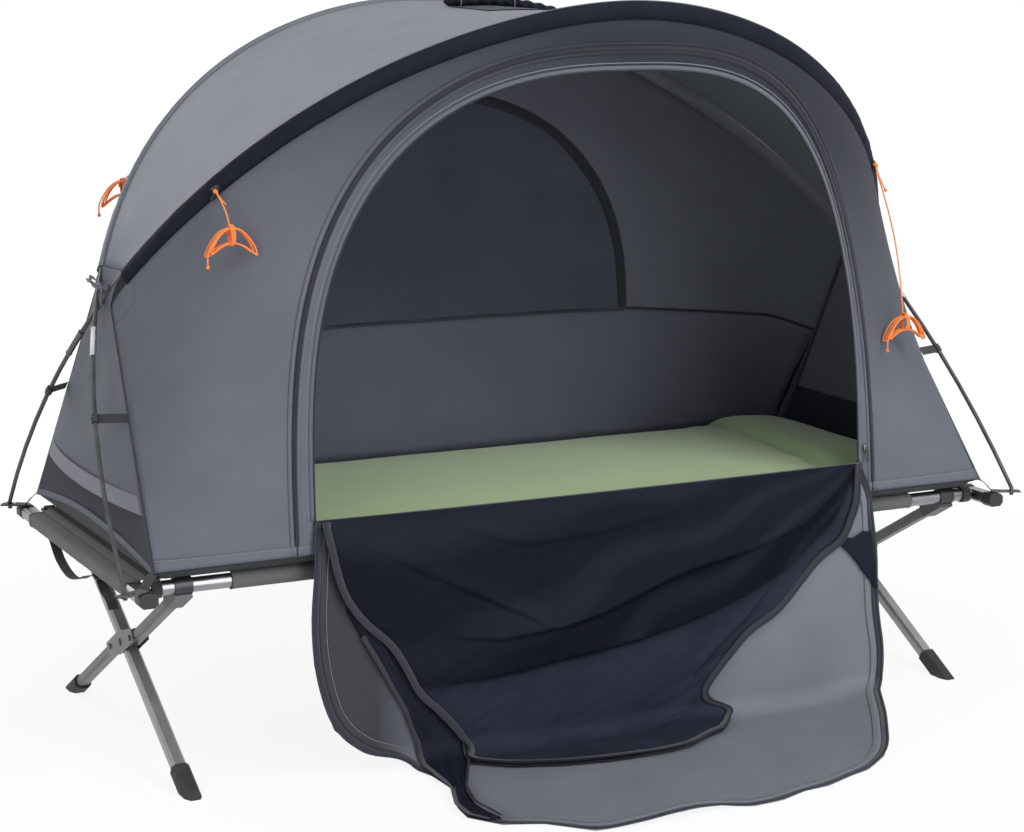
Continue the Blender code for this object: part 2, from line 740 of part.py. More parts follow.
def make_end_wall(name, side, parent):
    """Make the triangular end wall, whose hood stands proud over a mesh strip at its foot."""
    front, rear = wall_grid(True), wall_grid(False)
    foot, head = front[0][0], front[-1][0]
    rear_foot, rear_head = rear[0][0], rear[-1][0]
    rise = head.z - foot.z
    levels = (
        (0.0, 0.0),
        ((HOOD_BAND_Z - foot.z) / rise, 0.0),
        ((HOOD_BAND_Z - foot.z) / rise + CLOTH / rise, HOOD_PROUD),
        ((HOOD_FOLD_Z - foot.z) / rise, HOOD_PROUD),
        (HOOD_TOP_SHARE, 0.0),
        (1.0, 0.0),
    )
    grid = []
    for share, proud in levels:
        near, far = foot.lerp(head, share), rear_foot.lerp(rear_head, share)
        row = []
        for column in range(END_WALL_COLUMNS + 1):
            across = 2 * column / END_WALL_COLUMNS - 1
            place = near.lerp(far, column / END_WALL_COLUMNS)
            place.x = side * (abs(place.x) + CLOTH / 2 + SEAM_GAP + proud * (1 - across**2))
            row.append(place)
        grid.append(row)
    return seat(sheet_object(name, grid, CLOTH, "wall cloth"), parent)


def make_tent_floor(name, parent):
    """Make the tent's floor: a shallow tray on the bed, whose rim carries the walls."""
    outline = [(BASE_X, BASE_Y), (-BASE_X, BASE_Y), (-BASE_X, -BASE_Y), (BASE_X, -BASE_Y)]
    grow = CLOTH
    outer_rim = [(a + math.copysign(grow, a), b + math.copysign(grow, b)) for a, b in outline]
    slope = RIM_SLOPE_WIDTH
    low = [(a - math.copysign(slope, a), b - math.copysign(slope, b)) for a, b in outer_rim]
    inner_rim = [(a - math.copysign(2 * grow, a), b - math.copysign(2 * grow, b)) for a, b in outer_rim]
    inner_low = [(a - math.copysign(grow, a), b - math.copysign(grow, b)) for a, b in low]
    rings = [
        ring_z(low, FLOOR_Z),
        ring_z(outer_rim, RIM_Z),
        ring_z(inner_rim, RIM_Z),
        ring_z(inner_low, FLOOR_Z + CLOTH),
    ]
    return seat(loft(name, rings, "door cloth"), parent)


def sleeve_profile(outward):
    """Return the section of the bed cloth round a rail, with a tongue that lies in the bed."""
    half_step = math.radians(SLEEVE_WRAP_DEG / SLEEVE_WRAP_STEPS) / 2
    inner = (RAIL_RADIUS + FIT_GAP) / math.cos(half_step)
    outer = inner + BED_CLOTH
    steps = SLEEVE_WRAP_STEPS
    angles = [math.radians(90 - SLEEVE_WRAP_DEG * i / steps) for i in range(steps + 1)]
    outside = [(outward * outer * math.cos(a), outer * math.sin(a)) for a in angles]
    inside = [(outward * inner * math.cos(a), inner * math.sin(a)) for a in angles]
    tongue = [(-outward * RAIL_SLEEVE_TONGUE, inner), (-outward * RAIL_SLEEVE_TONGUE, outer)]
    return outside + inside[::-1] + tongue


def make_bed_cloth(name, parent):
    """Make the bed cloth: a sheet between the rails with sleeves that wrap them."""
    top = RAIL_Z - PIVOT_Z + RAIL_RADIUS + FIT_GAP
    low = (-BED_HALF_LENGTH, -BED_HALF_WIDTH, top)
    bed = box_tool(name, low, (BED_HALF_LENGTH, BED_HALF_WIDTH, top + BED_CLOTH), "bed cloth")
    for outward in (-1, 1):
        for side in (-1, 1):
            ends = (side * RAIL_SLEEVE_NOTCH, side * RAIL_SLEEVE_REACH)
            profile = sleeve_profile(outward)
            place_y = outward * RAIL_Y
            rings = [ring_x(profile, end, place_y, RAIL_Z - PIVOT_Z) for end in ends]
            combine(bed, loft("sleeve", rings, "bed cloth"), "UNION")
    return seat(bed, parent)


def make_bar_sleeve(name, side, parent):
    """Make the cloth sleeve round the middle of an end bar."""
    gap = 2 * FIT_GAP
    inner = rounded_outline(BAR_WIDTH + gap, BAR_HEIGHT + gap, BAR_CORNER + FIT_GAP)
    grown = gap + 2 * BED_CLOTH
    outer = rounded_outline(BAR_WIDTH + grown, BAR_HEIGHT + grown, BAR_CORNER + BED_CLOTH)
    reach = BAR_REACH_Y - BAR_BARE_LENGTH
    rings = [ring_y(outer, -reach), ring_y(outer, reach), ring_y(inner, reach), ring_y(inner, -reach)]
    sleeve = loft(name, rings, "bed cloth", closed=True)
    return seat(sleeve, parent, place=(side * BAR_X, 0.0, BAR_Z))


def mattress_top(x, share_x, share_y):
    """Return the mattress's height above its own base, crowned and drawn in at its edges."""
    edge = (1 - abs(share_x) ** MATTRESS_POWER) * (1 - abs(share_y) ** MATTRESS_POWER)
    swell = max(edge, 0.0) ** 0.5
    rise = PILLOW_RISE / (1 + math.exp(-(x - PILLOW_X) / (PILLOW_CHANNEL_WIDTH / 2)))
    channel = PILLOW_CHANNEL_DEPTH * math.exp(-(((x - PILLOW_X) / PILLOW_CHANNEL_WIDTH) ** 2))
    return (MATTRESS_HEIGHT / 2 + rise - channel) * swell


def make_mattress(name, parent):
    """Make the mattress with its pillow: crowned above, flat below, drawn in along its sides."""
    middle = FLOOR_Z + CLOTH + FIT_GAP + MATTRESS_HEIGHT / 2
    bm = bmesh.new()
    tops, bottoms = [], []
    for i in range(MATTRESS_COLUMNS + 1):
        share_x = math.sin(math.pi * (i / MATTRESS_COLUMNS - 0.5))
        top_row, bottom_row = [], []
        for j in range(MATTRESS_ROWS + 1):
            share_y = math.sin(math.pi * (j / MATTRESS_ROWS - 0.5))
            x = share_x * (MATTRESS_HALF_LENGTH - MATTRESS_PULL * (1 - share_y**2))
            y = share_y * (MATTRESS_HALF_WIDTH - MATTRESS_PULL * (1 - share_x**4))
            edge = i in (0, MATTRESS_COLUMNS) or j in (0, MATTRESS_ROWS)
            height = 0.0 if edge else mattress_top(x, share_x, share_y)
            top = bm.verts.new((x, y, middle + height))
            top_row.append(top)
            sunk = (1 - abs(share_x) ** MATTRESS_POWER) * (1 - abs(share_y) ** MATTRESS_POWER)
            depth = MATTRESS_HEIGHT / 2 * min(1.0, 2 * sunk)
            bottom_row.append(top if edge else bm.verts.new((x, y, middle - depth)))
        tops.append(top_row)
        bottoms.append(bottom_row)
    for rows in (tops, bottoms):
        for low, high in zip(rows, rows[1:]):
            for j in range(MATTRESS_ROWS):
                bm.faces.new((low[j], low[j + 1], high[j + 1], high[j]))
    mesh = mesh_of(bm, name)
    mesh.shade_smooth()
    return seat(add_object(name, mesh, "mattress cloth"), parent)


def drape_point(u, h):
    """Return a point of the open door: u runs across it, h down it from the sill."""
    hang = DOOR_SILL_Z - DRAPE_BEND_RADIUS
    turn = DRAPE_BEND_RADIUS * math.pi / 2
    lift = DRAPE_GROUND_GAP + CLOTH / 2
    half = DRAPE_HALF_WIDTH * (1 - min(1.0, h / DRAPE_LENGTH) ** DRAPE_POWER) ** (1 / DRAPE_POWER)
    wave = math.sin(2 * math.pi * (DRAPE_FOLD_TURNS * u / 2 + DRAPE_FOLD_SLANT * h))
    seated = wall_place(True, u * half, DOOR_SILL_Z).y - CLOTH - DRAPE_SEAT_GAP
    free = min(1.0, h / DRAPE_STANDOFF_LENGTH)
    face = seated + free * (-BASE_Y - DRAPE_STANDOFF - seated)
    swing = DRAPE_FOLD * wave * min(1.0, h / hang)
    if h < hang:
        y, z = face + swing, DOOR_SILL_Z - h
        ground = 0.0
    elif h < hang + turn:
        angle = (h - hang) / DRAPE_BEND_RADIUS
        y = face - DRAPE_BEND_RADIUS * (1 - math.cos(angle)) + swing * math.cos(angle)
        z = DRAPE_BEND_RADIUS * (1 - math.sin(angle)) + lift * math.sin(angle)
        ground = math.sin(angle)
    else:
        y = face - DRAPE_BEND_RADIUS - (h - hang - turn)
        z = lift
        ground = 1.0
    z += ground * DRAPE_GROUND_FOLD * max(0.0, wave) ** 2
    shift = DRAPE_SHIFT * ground * (1 - max(0.0, h - hang) / DRAPE_LENGTH)
    return Vector((u * half + shift, y, z))


def make_drape(name, parent):
    """Make the open door, which hangs from the sill and lies folded on the ground."""
    grid = []
    for row in range(DRAPE_ROWS + 1):
        h = DRAPE_LENGTH * DRAPE_TAPER_SHARE * row / DRAPE_ROWS
        line = [drape_point(2 * column / DRAPE_COLUMNS - 1, h) for column in range(DRAPE_COLUMNS + 1)]
        grid.append(line)
    return seat(sheet_object(name, grid, CLOTH, "door cloth"), parent)


def make_tab(name, side, end, parent):
    """Make a corner tab: webbing with an eyelet, from the tent's corner over the bar to the pole's foot."""
    start = Vector((BASE_X + CLOTH, BASE_Y + CLOTH, 0.0))
    foot = arch_point(end > 0, 1, pole_bend_parameter())
    foot = Vector((foot.x, abs(foot.y), 0.0))
    along = (foot - start).normalized()
    across = Vector((-along.y, along.x, 0.0))
    reach = (foot - start).length
    drop = TAB_DROP_LENGTH
    stations = (
        (SEAM_GAP, RIM_Z - TAB_THICKNESS / 2),
        (drop / 2, (RIM_Z + TAB_Z) / 2 + TAB_THICKNESS),
        (drop, TAB_Z + TAB_THICKNESS / 2),
        (reach - TAB_END_LENGTH, TAB_Z),
        (reach + TAB_END_LENGTH, TAB_Z),
    )
    rings = []
    for distance, z in stations:
        ring = []
        for a, b in ((-1, -1), (1, -1), (1, 1), (-1, 1)):
            place = start + along * distance + across * (a * TAB_WIDTH / 2)
            ring.append((side * place.x, end * place.y, z + b * TAB_THICKNESS / 2))
        rings.append(ring)
    tab = loft(name, rings, "webbing")
    outline = circle_outline(EYELET_RADIUS, SMALL_ROUND_SIDES)
    x, y = side * foot.x, end * foot.y
    span = TAB_THICKNESS + OVERRUN
    rings = [ring_z(outline, TAB_Z + reach, x, y) for reach in (-span, span)]
    tool = loft("eyelet", rings, "webbing")
    combine(tab, tool, "DIFFERENCE")
    return seat(tab, parent)


def tie_frame(front, side):
    """Return the sleeve's frame where a guyline is tied to it."""
    tie = arch_point(front, side, arch_parameter(CORD_TIE_SHARE))
    frames = wall_frames(front)
    for low, high in zip(frames, frames[1:]):
        if low[0].x <= tie.x <= high[0].x:
            break
    part = (tie.x - low[0].x) / (high[0].x - low[0].x)
    return [a.lerp(b, part) for a, b in zip(low, high)]


def guyline_points(front, side):
    """Return a guyline's route: from its tie on the sleeve down to the hank, then round the hank's loops."""
    outward = -1 if front else 1
    place, down, across = tie_frame(front, side)
    across = across if across.y * outward > 0 else -across
    start = place + down * (SLEEVE_DEPTH / 2) + across * (SLEEVE_THICKNESS / 2 + CORD_DIAMETER / 2 + TIE_GAP)
    strand = PILLOW_END_STRAND if side > 0 else FOOT_END_STRAND
    top_z = start.z - (strand if front else REAR_STRAND)
    centre_z = top_z - HANK_HALF_HEIGHT
    low_z = centre_z - HANK_DROOP
    wings = (start.x - HANK_HALF_WIDTH, start.x + HANK_HALF_WIDTH)
    lean = max(outward * wall_place(front, x, low_z).y for x in wings)
    top = Vector((start.x, outward * (lean + CLOTH / 2 + CORD_DIAMETER / 2 + HANK_STANDOFF), top_z))
    points = []
    for i in range(STRAND_POINTS):
        share = i / STRAND_POINTS
        bow = STRAND_BOW_SHARE * math.sin(math.pi * share) * (top.y - start.y)
        points.append(start.lerp(top, share) + Vector((0.0, bow, 0.0)))
    for i in range(HANK_LOOPS * HANK_POINTS_PER_LOOP + HANK_POINTS_PER_LOOP // 4 + 1):
        turns = i / HANK_POINTS_PER_LOOP
        angle = math.pi / 2 + 2 * math.pi * turns
        swell = 1 - HANK_SWELL_SHARE * (1 - math.cos(HANK_SWELL_TURNS * 2 * math.pi * turns)) / 2
        x = start.x + HANK_HALF_WIDTH * swell * math.cos(angle)
        z = centre_z + HANK_HALF_HEIGHT * math.sin(angle) - HANK_DROOP * swell * math.cos(angle) ** 2
        points.append(Vector((x, top.y + outward * HANK_PITCH * turns, z)))
    points.append(points[-1] - Vector((0.0, 0.0, HANK_TAIL)))
    return points


def least_gap(points, diameter):
    """Return the least gap between a tube's turns, from its points a quarter loop or more apart."""
    apart = HANK_POINTS_PER_LOOP // 4
    gap = min(
        (points[j] - points[i]).length
        for i in range(len(points))
        for j in range(i + apart, len(points))
    )
    return gap - diameter


def make_guyline(name, front, side, parent):
    """Make a guyline tied up in a hank that hangs from the sleeve."""
    points = guyline_points(front, side)
    print(f"{name}: least gap to itself {1000 * least_gap(points, CORD_DIAMETER):.2f} mm")
    return seat(make_tube(name, points, CORD_DIAMETER / 2, 1, "orange cord"), parent)


def wall_place(front, x, z):
    """Return the point of a long wall's middle surface at this place along the bed and this height."""
    grid = wall_grid(front)
    columns = list(zip(grid[0], grid[-1]))
    marks = [foot.lerp(top, (z - foot.z) / (top.z - foot.z)) for foot, top in columns]
    for left, right in zip(marks, marks[1:]):
        if left.x <= x <= right.x:
            return left.lerp(right, (x - left.x) / (right.x - left.x))
    return marks[0] if x < 0 else marks[-1]


def wall_frame(x, share):
    """Return a point of the front wall, with its directions up the wall and out of it."""
    grid = wall_grid(True)
    columns = list(zip(grid[0], grid[-1]))
    for left, right in zip(columns, columns[1:]):
        low = left[0].lerp(left[1], share)
        high = right[0].lerp(right[1], share)
        if low.x <= x <= high.x:
            break
    part = (x - low.x) / (high.x - low.x)
    hem = left[0].lerp(right[0], part)
    top = left[1].lerp(right[1], part)
    up = (top - hem).normalized()
    out = up.cross(high - low).normalized()
    return hem.lerp(top, share), up, out if out.y < 0 else -out


def make_zip_slider(name, parent):
    """Make the zip's slider with its pull, on the door's edge near the sill."""
    place, up, out = wall_frame(DOOR_HALF_WIDTH + SLIDER_OUTSIDE, SLIDER_V_SHARE)
    across = up.cross(out).normalized()
    frame = Matrix((across, out, up)).transposed().to_4x4()
    gap = CLOTH / 2 + SLIDER_STANDOFF
    outline = rounded_outline(SLIDER_WIDTH, SLIDER_LENGTH, SLIDER_BEVEL)
    levels = ((gap, 1.0), (gap + SLIDER_DEPTH * 2 / 3, 1.0), (gap + SLIDER_DEPTH, 2 / 3))
    rings = [[frame @ Vector((a * grow, level, b * grow)) for a, b in outline] for level, grow in levels]
    slider = loft(name, rings, "plated steel")
    seat(slider, parent, place=place)
    print("zip slider axis", [round(value, 5) for value in up], "at", [round(value, 5) for value in place])
    return slider


def centre_on_origin(anchor, cords):
    """Move the anchor so that the part without its free cords stands centred on the origin."""
    bpy.context.view_layer.update()
    depsgraph = bpy.context.evaluated_depsgraph_get()
    lows, highs = [math.inf] * 2, [-math.inf] * 2
    for obj in bpy.context.scene.objects:
        if obj.type == "EMPTY" or obj in cords:
            continue
        shape = obj.evaluated_get(depsgraph)
        mesh = shape.to_mesh()
        for vertex in mesh.vertices:
            place = obj.matrix_world @ vertex.co
            for axis in (0, 1):
                lows[axis] = min(lows[axis], place[axis])
                highs[axis] = max(highs[axis], place[axis])
        shape.to_mesh_clear()
    anchor.location.x = -(lows[0] + highs[0]) / 2
    anchor.location.y = -(lows[1] + highs[1]) / 2
    print("origin shift", [round(value, 5) for value in anchor.location])


def make_leg_sets(front_frame, back_frame, pivots):
    """Make the three crossed leg sets with their brackets, rivets and feet."""
    end_x = BED_HALF_LENGTH - LEG_INSET
    for place, x in (("foot_end", -end_x), ("middle", 0.0), ("pillow_end", end_x)):
        make_long_leg(f"long_leg_{place}", x, back_frame)
        make_short_leg(f"short_leg_upper_{place}", x, True, front_frame)
        make_short_leg(f"short_leg_lower_{place}", x, False, front_frame)
        make_crossing_bracket(f"crossing_bracket_{place}", x, front_frame)
        make_pivot_rivet(f"pivot_rivet_{place}", x, pivots)
        make_rail_bracket(f"back_rail_bracket_{place}", x, -LEG_ANGLE, 0.0, LONG_LEG_DEPTH, back_frame)
        make_rail_bracket(
            f"front_rail_bracket_{place}", x, LEG_ANGLE, -SHORT_LEG_OFFSET, SHORT_LEG_DEPTH, front_frame
        )
        make_foot(f"front_foot_{place}", x, -LEG_ANGLE, 0.0, LONG_LEG_DEPTH, back_frame)
        make_foot(f"back_foot_{place}", x, LEG_ANGLE, SHORT_LEG_OFFSET, SHORT_LEG_DEPTH, front_frame)


def main():
    """Build the tent cot."""
    clear_scene()
    anchor = add_empty("cot_origin", (0.0, 0.0, 0.0))
    pivots = add_empty("leg_pivot_axis", (0.0, 0.0, PIVOT_Z), anchor)
    front_frame = add_empty("front_frame_axis", (0.0, 0.0, 0.0), pivots)
    back_frame = add_empty("back_frame_axis", (0.0, 0.0, 0.0), pivots)
    make_rail("front_rail", -RAIL_Y, -1, front_frame)
    make_rail("back_rail", RAIL_Y, 1, back_frame)
    make_leg_sets(front_frame, back_frame, pivots)
    make_bed_cloth("bed_cloth", pivots)
    for place, side in (("foot_end", -1), ("pillow_end", 1)):
        make_end_bar(f"{place}_bar", side, anchor)
        make_bar_sleeve(f"{place}_bar_sleeve", side, anchor)
        make_end_wall(f"{place}_wall", side, anchor)
        for across, end in (("front", -1), ("back", 1)):
            make_bar_cap(f"bar_cap_{place}_{across}", side, end, anchor)
            make_tab(f"corner_tab_{place}_{across}", side, end, anchor)
    make_tent_floor("tent_floor", anchor)
    make_mattress("mattress", anchor)
    make_wall("front_wall", True, anchor)
    make_wall("rear_wall", False, anchor)
    make_roof("roof", anchor)
    make_pole("front_arch_pole", True, anchor)
    make_pole("rear_arch_pole", False, anchor)
    make_pole_sleeve("front_pole_sleeve", True, "dark cloth", anchor)
    make_pole_sleeve("rear_pole_sleeve", False, "light cloth", anchor)
    make_drape("door_drape", anchor)
    make_zip_slider("zip_slider", anchor)
    cords = []
    for across, front in (("front", True), ("back", False)):
        for place, side in (("foot_end", -1), ("pillow_end", 1)):
            cords.append(make_guyline(f"guyline_{across}_{place}", front, side, anchor))
    centre_on_origin(anchor, cords)


main()
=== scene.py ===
"""The looks of a tent cot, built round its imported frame.

Metres, +Z up, X along the bed with the pillow at +X, and the open door towards -Y.
"""

import json
import logging
from collections.abc import Callable, Sequence
from dataclasses import dataclass, field, replace
from enum import Enum
from math import atan2, copysign, cos, exp, hypot, pi, radians, sin
from typing import ClassVar

import bmesh
import bpy
from bpy.types import Object
from mathutils import Matrix, Vector, noise
from mathutils.bvhtree import BVHTree


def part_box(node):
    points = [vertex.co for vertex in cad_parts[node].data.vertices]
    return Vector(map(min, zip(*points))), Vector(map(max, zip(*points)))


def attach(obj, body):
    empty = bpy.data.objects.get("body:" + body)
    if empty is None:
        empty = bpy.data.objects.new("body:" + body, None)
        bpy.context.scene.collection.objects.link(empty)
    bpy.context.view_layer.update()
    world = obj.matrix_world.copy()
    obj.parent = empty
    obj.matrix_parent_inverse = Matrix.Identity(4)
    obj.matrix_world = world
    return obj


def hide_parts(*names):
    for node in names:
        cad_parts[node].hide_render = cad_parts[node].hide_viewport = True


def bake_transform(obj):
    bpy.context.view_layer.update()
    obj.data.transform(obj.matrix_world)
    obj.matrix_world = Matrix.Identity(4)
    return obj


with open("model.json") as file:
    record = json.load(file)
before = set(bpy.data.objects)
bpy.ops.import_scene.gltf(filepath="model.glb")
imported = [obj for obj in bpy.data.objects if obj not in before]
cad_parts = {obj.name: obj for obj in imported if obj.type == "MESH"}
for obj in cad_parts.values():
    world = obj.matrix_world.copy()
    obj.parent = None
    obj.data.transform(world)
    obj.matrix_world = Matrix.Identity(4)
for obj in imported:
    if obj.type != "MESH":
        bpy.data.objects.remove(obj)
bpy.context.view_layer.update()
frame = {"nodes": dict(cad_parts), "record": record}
LOG = logging.getLogger("tent_cot")

Triple = tuple[float, float, float]
Line = Sequence[tuple[float, float]]

BODIES = frame["record"]["behaviour"]["bodies"]
HOME = {node: body for body, nodes in BODIES.items() for node in nodes}
BAR_LOW, BAR_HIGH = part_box("foot_end_bar")
CENTRE_Y = (BAR_LOW.y + BAR_HIGH.y) / 2
ENDS = {"foot_end": -1, "pillow_end": 1}
FACES = {"front": -1, "back": 1}
CLOTH_THICKNESS = 0.0012
TAPE_THICKNESS = 0.0008
NET_THICKNESS = 0.0006
X_AXIS = Vector((1.0, 0.0, 0.0))
Z_AXIS = Vector((0.0, 0.0, 1.0))
DOWN = Vector((0, 0, -1))


class Space(Enum):
    """The coordinates that a pattern is laid in."""

    OBJECT = "Object"
    CLOTH = "UV"


def tone(red: float, green: float, blue: float) -> Triple:
    """Return the linear colour of screen values from 0 to 255."""
    shares = (value / 255 for value in (red, green, blue))
    return tuple(s / 12.92 if s <= 0.04045 else ((s + 0.055) / 1.055) ** 2.4 for s in shares)


class Wire:
    """A shader socket whose arithmetic adds Math nodes."""

    def __init__(self, tree: bpy.types.NodeTree, socket: bpy.types.NodeSocket) -> None:
        """Keep the tree and the socket."""
        self.tree = tree
        self.socket = socket

    def maths(self, operation: str, *terms: "Wire | float") -> "Wire":
        """Add a Math node.

        Args:
            operation: the node's operation.
            terms: its inputs in order, wires or numbers.

        Returns:
            The node's result.
        """
        node = self.tree.nodes.new("ShaderNodeMath")
        node.operation = operation
        for place, term in enumerate(terms):
            if isinstance(term, Wire):
                self.tree.links.new(term.socket, node.inputs[place])
            else:
                node.inputs[place].default_value = term
        return Wire(self.tree, node.outputs[0])

    def __add__(self, other: "Wire | float") -> "Wire":
        """Return the sum."""
        return self.maths("ADD", self, other)

    __radd__ = __add__

    def __sub__(self, other: "Wire | float") -> "Wire":
        """Return the difference."""
        return self.maths("SUBTRACT", self, other)

    def __rsub__(self, other: float) -> "Wire":
        """Return a number less this value."""
        return self.maths("SUBTRACT", other, self)

    def __mul__(self, other: "Wire | float") -> "Wire":
        """Return the product."""
        return self.maths("MULTIPLY", self, other)

    __rmul__ = __mul__

    def __pow__(self, power: float) -> "Wire":
        """Return this value raised to a power."""
        return self.maths("POWER", self, power)

    def __gt__(self, limit: float) -> "Wire":
        """Return 1 where this value is above the limit."""
        return self.maths("GREATER_THAN", self, limit)

    def sine(self) -> "Wire":
        """Return the sine, in radians."""
        return self.maths("SINE", self)

    def size(self) -> "Wire":
        """Return the value without its sign."""
        return self.maths("ABSOLUTE", self)

    def larger(self, other: "Wire | float") -> "Wire":
        """Return the larger of two values."""
        return self.maths("MAXIMUM", self, other)


class Recipe:
    """A material's nodes."""

    def __init__(self, name: str) -> None:
        """Start a material with its Principled shader."""
        self.material = bpy.data.materials.new(name)
        self.material.use_nodes = True
        self.tree = self.material.node_tree
        self.shader = self.tree.nodes["Principled BSDF"]

    def node(self, kind: str, settings: dict | None = None, inputs: dict | None = None) -> bpy.types.Node:
        """Add any node.

        Args:
            kind: the node's type without its ShaderNode prefix.
            settings: properties to set first.
            inputs: values or wires for its sockets.

        Returns:
            The node.
        """
        node = self.tree.nodes.new("ShaderNode" + kind)
        for name, value in (settings or {}).items():
            setattr(node, name, value)
        for name, value in (inputs or {}).items():
            self.set(node.inputs[name], value)
        return node

    def set(self, socket: bpy.types.NodeSocket, value: "Wire | float | Sequence[float]") -> None:
        """Set a socket to a value or link a wire to it."""
        if isinstance(value, Wire):
            self.tree.links.new(value.socket, socket)
        else:
            socket.default_value = value

    def wire(self, node: bpy.types.Node, output: str | int = 0) -> Wire:
        """Return a node's output as a wire."""
        return Wire(self.tree, node.outputs[output])

    def place(
        self, space: Space, turn: Sequence[float] = (0, 0, 0), stretch: Sequence[float] = (1, 1, 1)
    ) -> Wire:
        """Return coordinates, turned and stretched by a Mapping node."""
        source = self.wire(self.node("TexCoord"), space.value)
        turned = self.wire(self.node("Mapping", None, {"Vector": source, "Rotation": turn}))
        return self.wire(self.node("Mapping", None, {"Vector": turned, "Scale": stretch}))

    def split(self, vector: Wire) -> tuple[Wire, Wire, Wire]:
        """Return the three parts of a vector."""
        node = self.node("SeparateXYZ", None, {"Vector": vector})
        return tuple(self.wire(node, i) for i in range(3))

    def noise(self, vector: Wire, scale: float, detail: float = 3.0, roughness: float = 0.5) -> Wire:
        """Return a noise value from 0 to 1."""
        inputs = {"Vector": vector, "Scale": scale, "Detail": detail, "Roughness": roughness}
        return self.wire(self.node("TexNoise", None, inputs), "Fac")

    def blend(self, share: Wire, first: Sequence[float], second: "Sequence[float] | Wire") -> Wire:
        """Return a colour between two."""
        node = self.node("Mix", {"data_type": "RGBA", "clamp_factor": True})
        self.set(node.inputs[0], share)
        for socket, colour in ((node.inputs[6], first), (node.inputs[7], second)):
            self.set(socket, colour if isinstance(colour, Wire) else (*colour, 1.0))
        return self.wire(node, 2)

    def span(self, value: Wire, low: float, high: float, start: float = 0.0, end: float = 1.0) -> Wire:
        """Return a value mapped from one range to another."""
        inputs = {"Value": value, "From Min": low, "From Max": high, "To Min": start, "To Max": end}
        return self.wire(self.node("MapRange", None, inputs))

    def feed(self, **values: "Wire | float | Sequence[float]") -> None:
        """Set the shader's sockets; an underscore stands for a space."""
        for name, value in values.items():
            self.set(self.shader.inputs[name.replace("_", " ")], value)

    def relief(self, *layers: tuple[Wire, float]) -> None:
        """Feed Bump nodes in a row to Normal.

        Args:
            layers: a height from 0 to 1 and its depth in metres, each.
        """
        normal = None
        for height, depth in layers:
            inputs = {"Height": height, "Distance": depth, "Strength": 1.0}
            if normal:
                inputs["Normal"] = normal
            normal = self.wire(self.node("Bump", None, inputs))
        self.set(self.shader.inputs["Normal"], normal)

    def let_through(self, colour: Sequence[float], share: float) -> None:
        """Let a share of the light behind a thin sheet show through it."""
        behind = self.node("BsdfTranslucent", None, {"Color": (*colour, 1.0)})
        mixer = self.node("MixShader", None, {0: share})
        self.tree.links.new(self.shader.outputs[0], mixer.inputs[1])
        self.tree.links.new(behind.outputs[0], mixer.inputs[2])
        self.tree.links.new(mixer.outputs[0], self.tree.nodes["Material Output"].inputs["Surface"])


@dataclass(frozen=True)
class Finish:
    """A finish of two close colours, whose material is made once and shared."""

    name: str
    slot: str
    colour: Triple
    shade: Triple
    made: ClassVar[dict[str, bpy.types.Material]] = {}

    def write(self, recipe: Recipe) -> None:
        """Add the finish's nodes."""
        raise NotImplementedError

    def material(self) -> bpy.types.Material:
        """Return the finish's material."""
        if self.name not in Finish.made:
            recipe = Recipe(self.name)
            self.write(recipe)
            Finish.made[self.name] = recipe.material
        return Finish.made[self.name]


@dataclass(frozen=True)
class Fade:
    """A band of painted shade, over which a cloth's colour turns to another along a direction of the object's
    coordinates.
    """

    along: Triple
    low: float
    high: float
    colour: Triple

    def lay(self, recipe: Recipe, colour: Wire) -> Wire:
        """Return the colour with this band of painted shade laid over it."""
        parts = recipe.split(recipe.place(Space.OBJECT))
        value = sum((part * share for part, share in zip(parts, self.along) if share), 0.0)
        return recipe.blend(recipe.span(value, self.low, self.high), colour, self.colour)


@dataclass(frozen=True)
class Cloth(Finish):
    """A coated plain weave, through which a little light shines."""

    thread: float = 0.0009
    gloss: float = 0.62
    crinkle: float = 0.0012
    sheen: float = 0.08
    shine: float = 0.30
    through: float = 0.0
    painted_shades: tuple[Fade, ...] = ()

    def write(self, recipe: Recipe) -> None:
        """Lay the weave on the cloth's own map, with soft mottling, small creases and any bands of painted
        shade.
        """
        flat = recipe.place(Space.CLOTH)
        across, along, _ = recipe.split(flat)
        turn = 2 * pi / self.thread
        weave = (across * turn).sine() * (along * turn).sine() * 0.5 + 0.5
        mottle = recipe.noise(flat, 7.0, 4.0)
        slub = recipe.noise(recipe.place(Space.CLOTH, stretch=(60.0, 700.0, 1.0)), 1.0, 2.0)
        share = recipe.span(mottle * 0.7 + slub * 0.2 + weave * 0.1, 0.3, 0.7)
        colour = recipe.blend(share, self.shade, self.colour)
        # Painted shade: each band darkens the cloth's colour over part of it, standing in for shade.
        for painted_shade in self.painted_shades:
            colour = painted_shade.lay(recipe, colour)
        recipe.feed(Base_Color=colour)
        recipe.feed(Roughness=recipe.span(slub, 0.2, 0.8, self.gloss - 0.06, self.gloss + 0.10))
        recipe.feed(Sheen_Weight=self.sheen, Sheen_Roughness=0.5, Specular_IOR_Level=self.shine)
        creases = recipe.noise(recipe.place(Space.CLOTH, stretch=(1.0, 1.6, 1.0)), 16.0, 3.0, 0.4)
        recipe.relief((creases, self.crinkle), (weave, self.thread * 0.12))
        if self.through:
            recipe.let_through(self.colour, self.through)


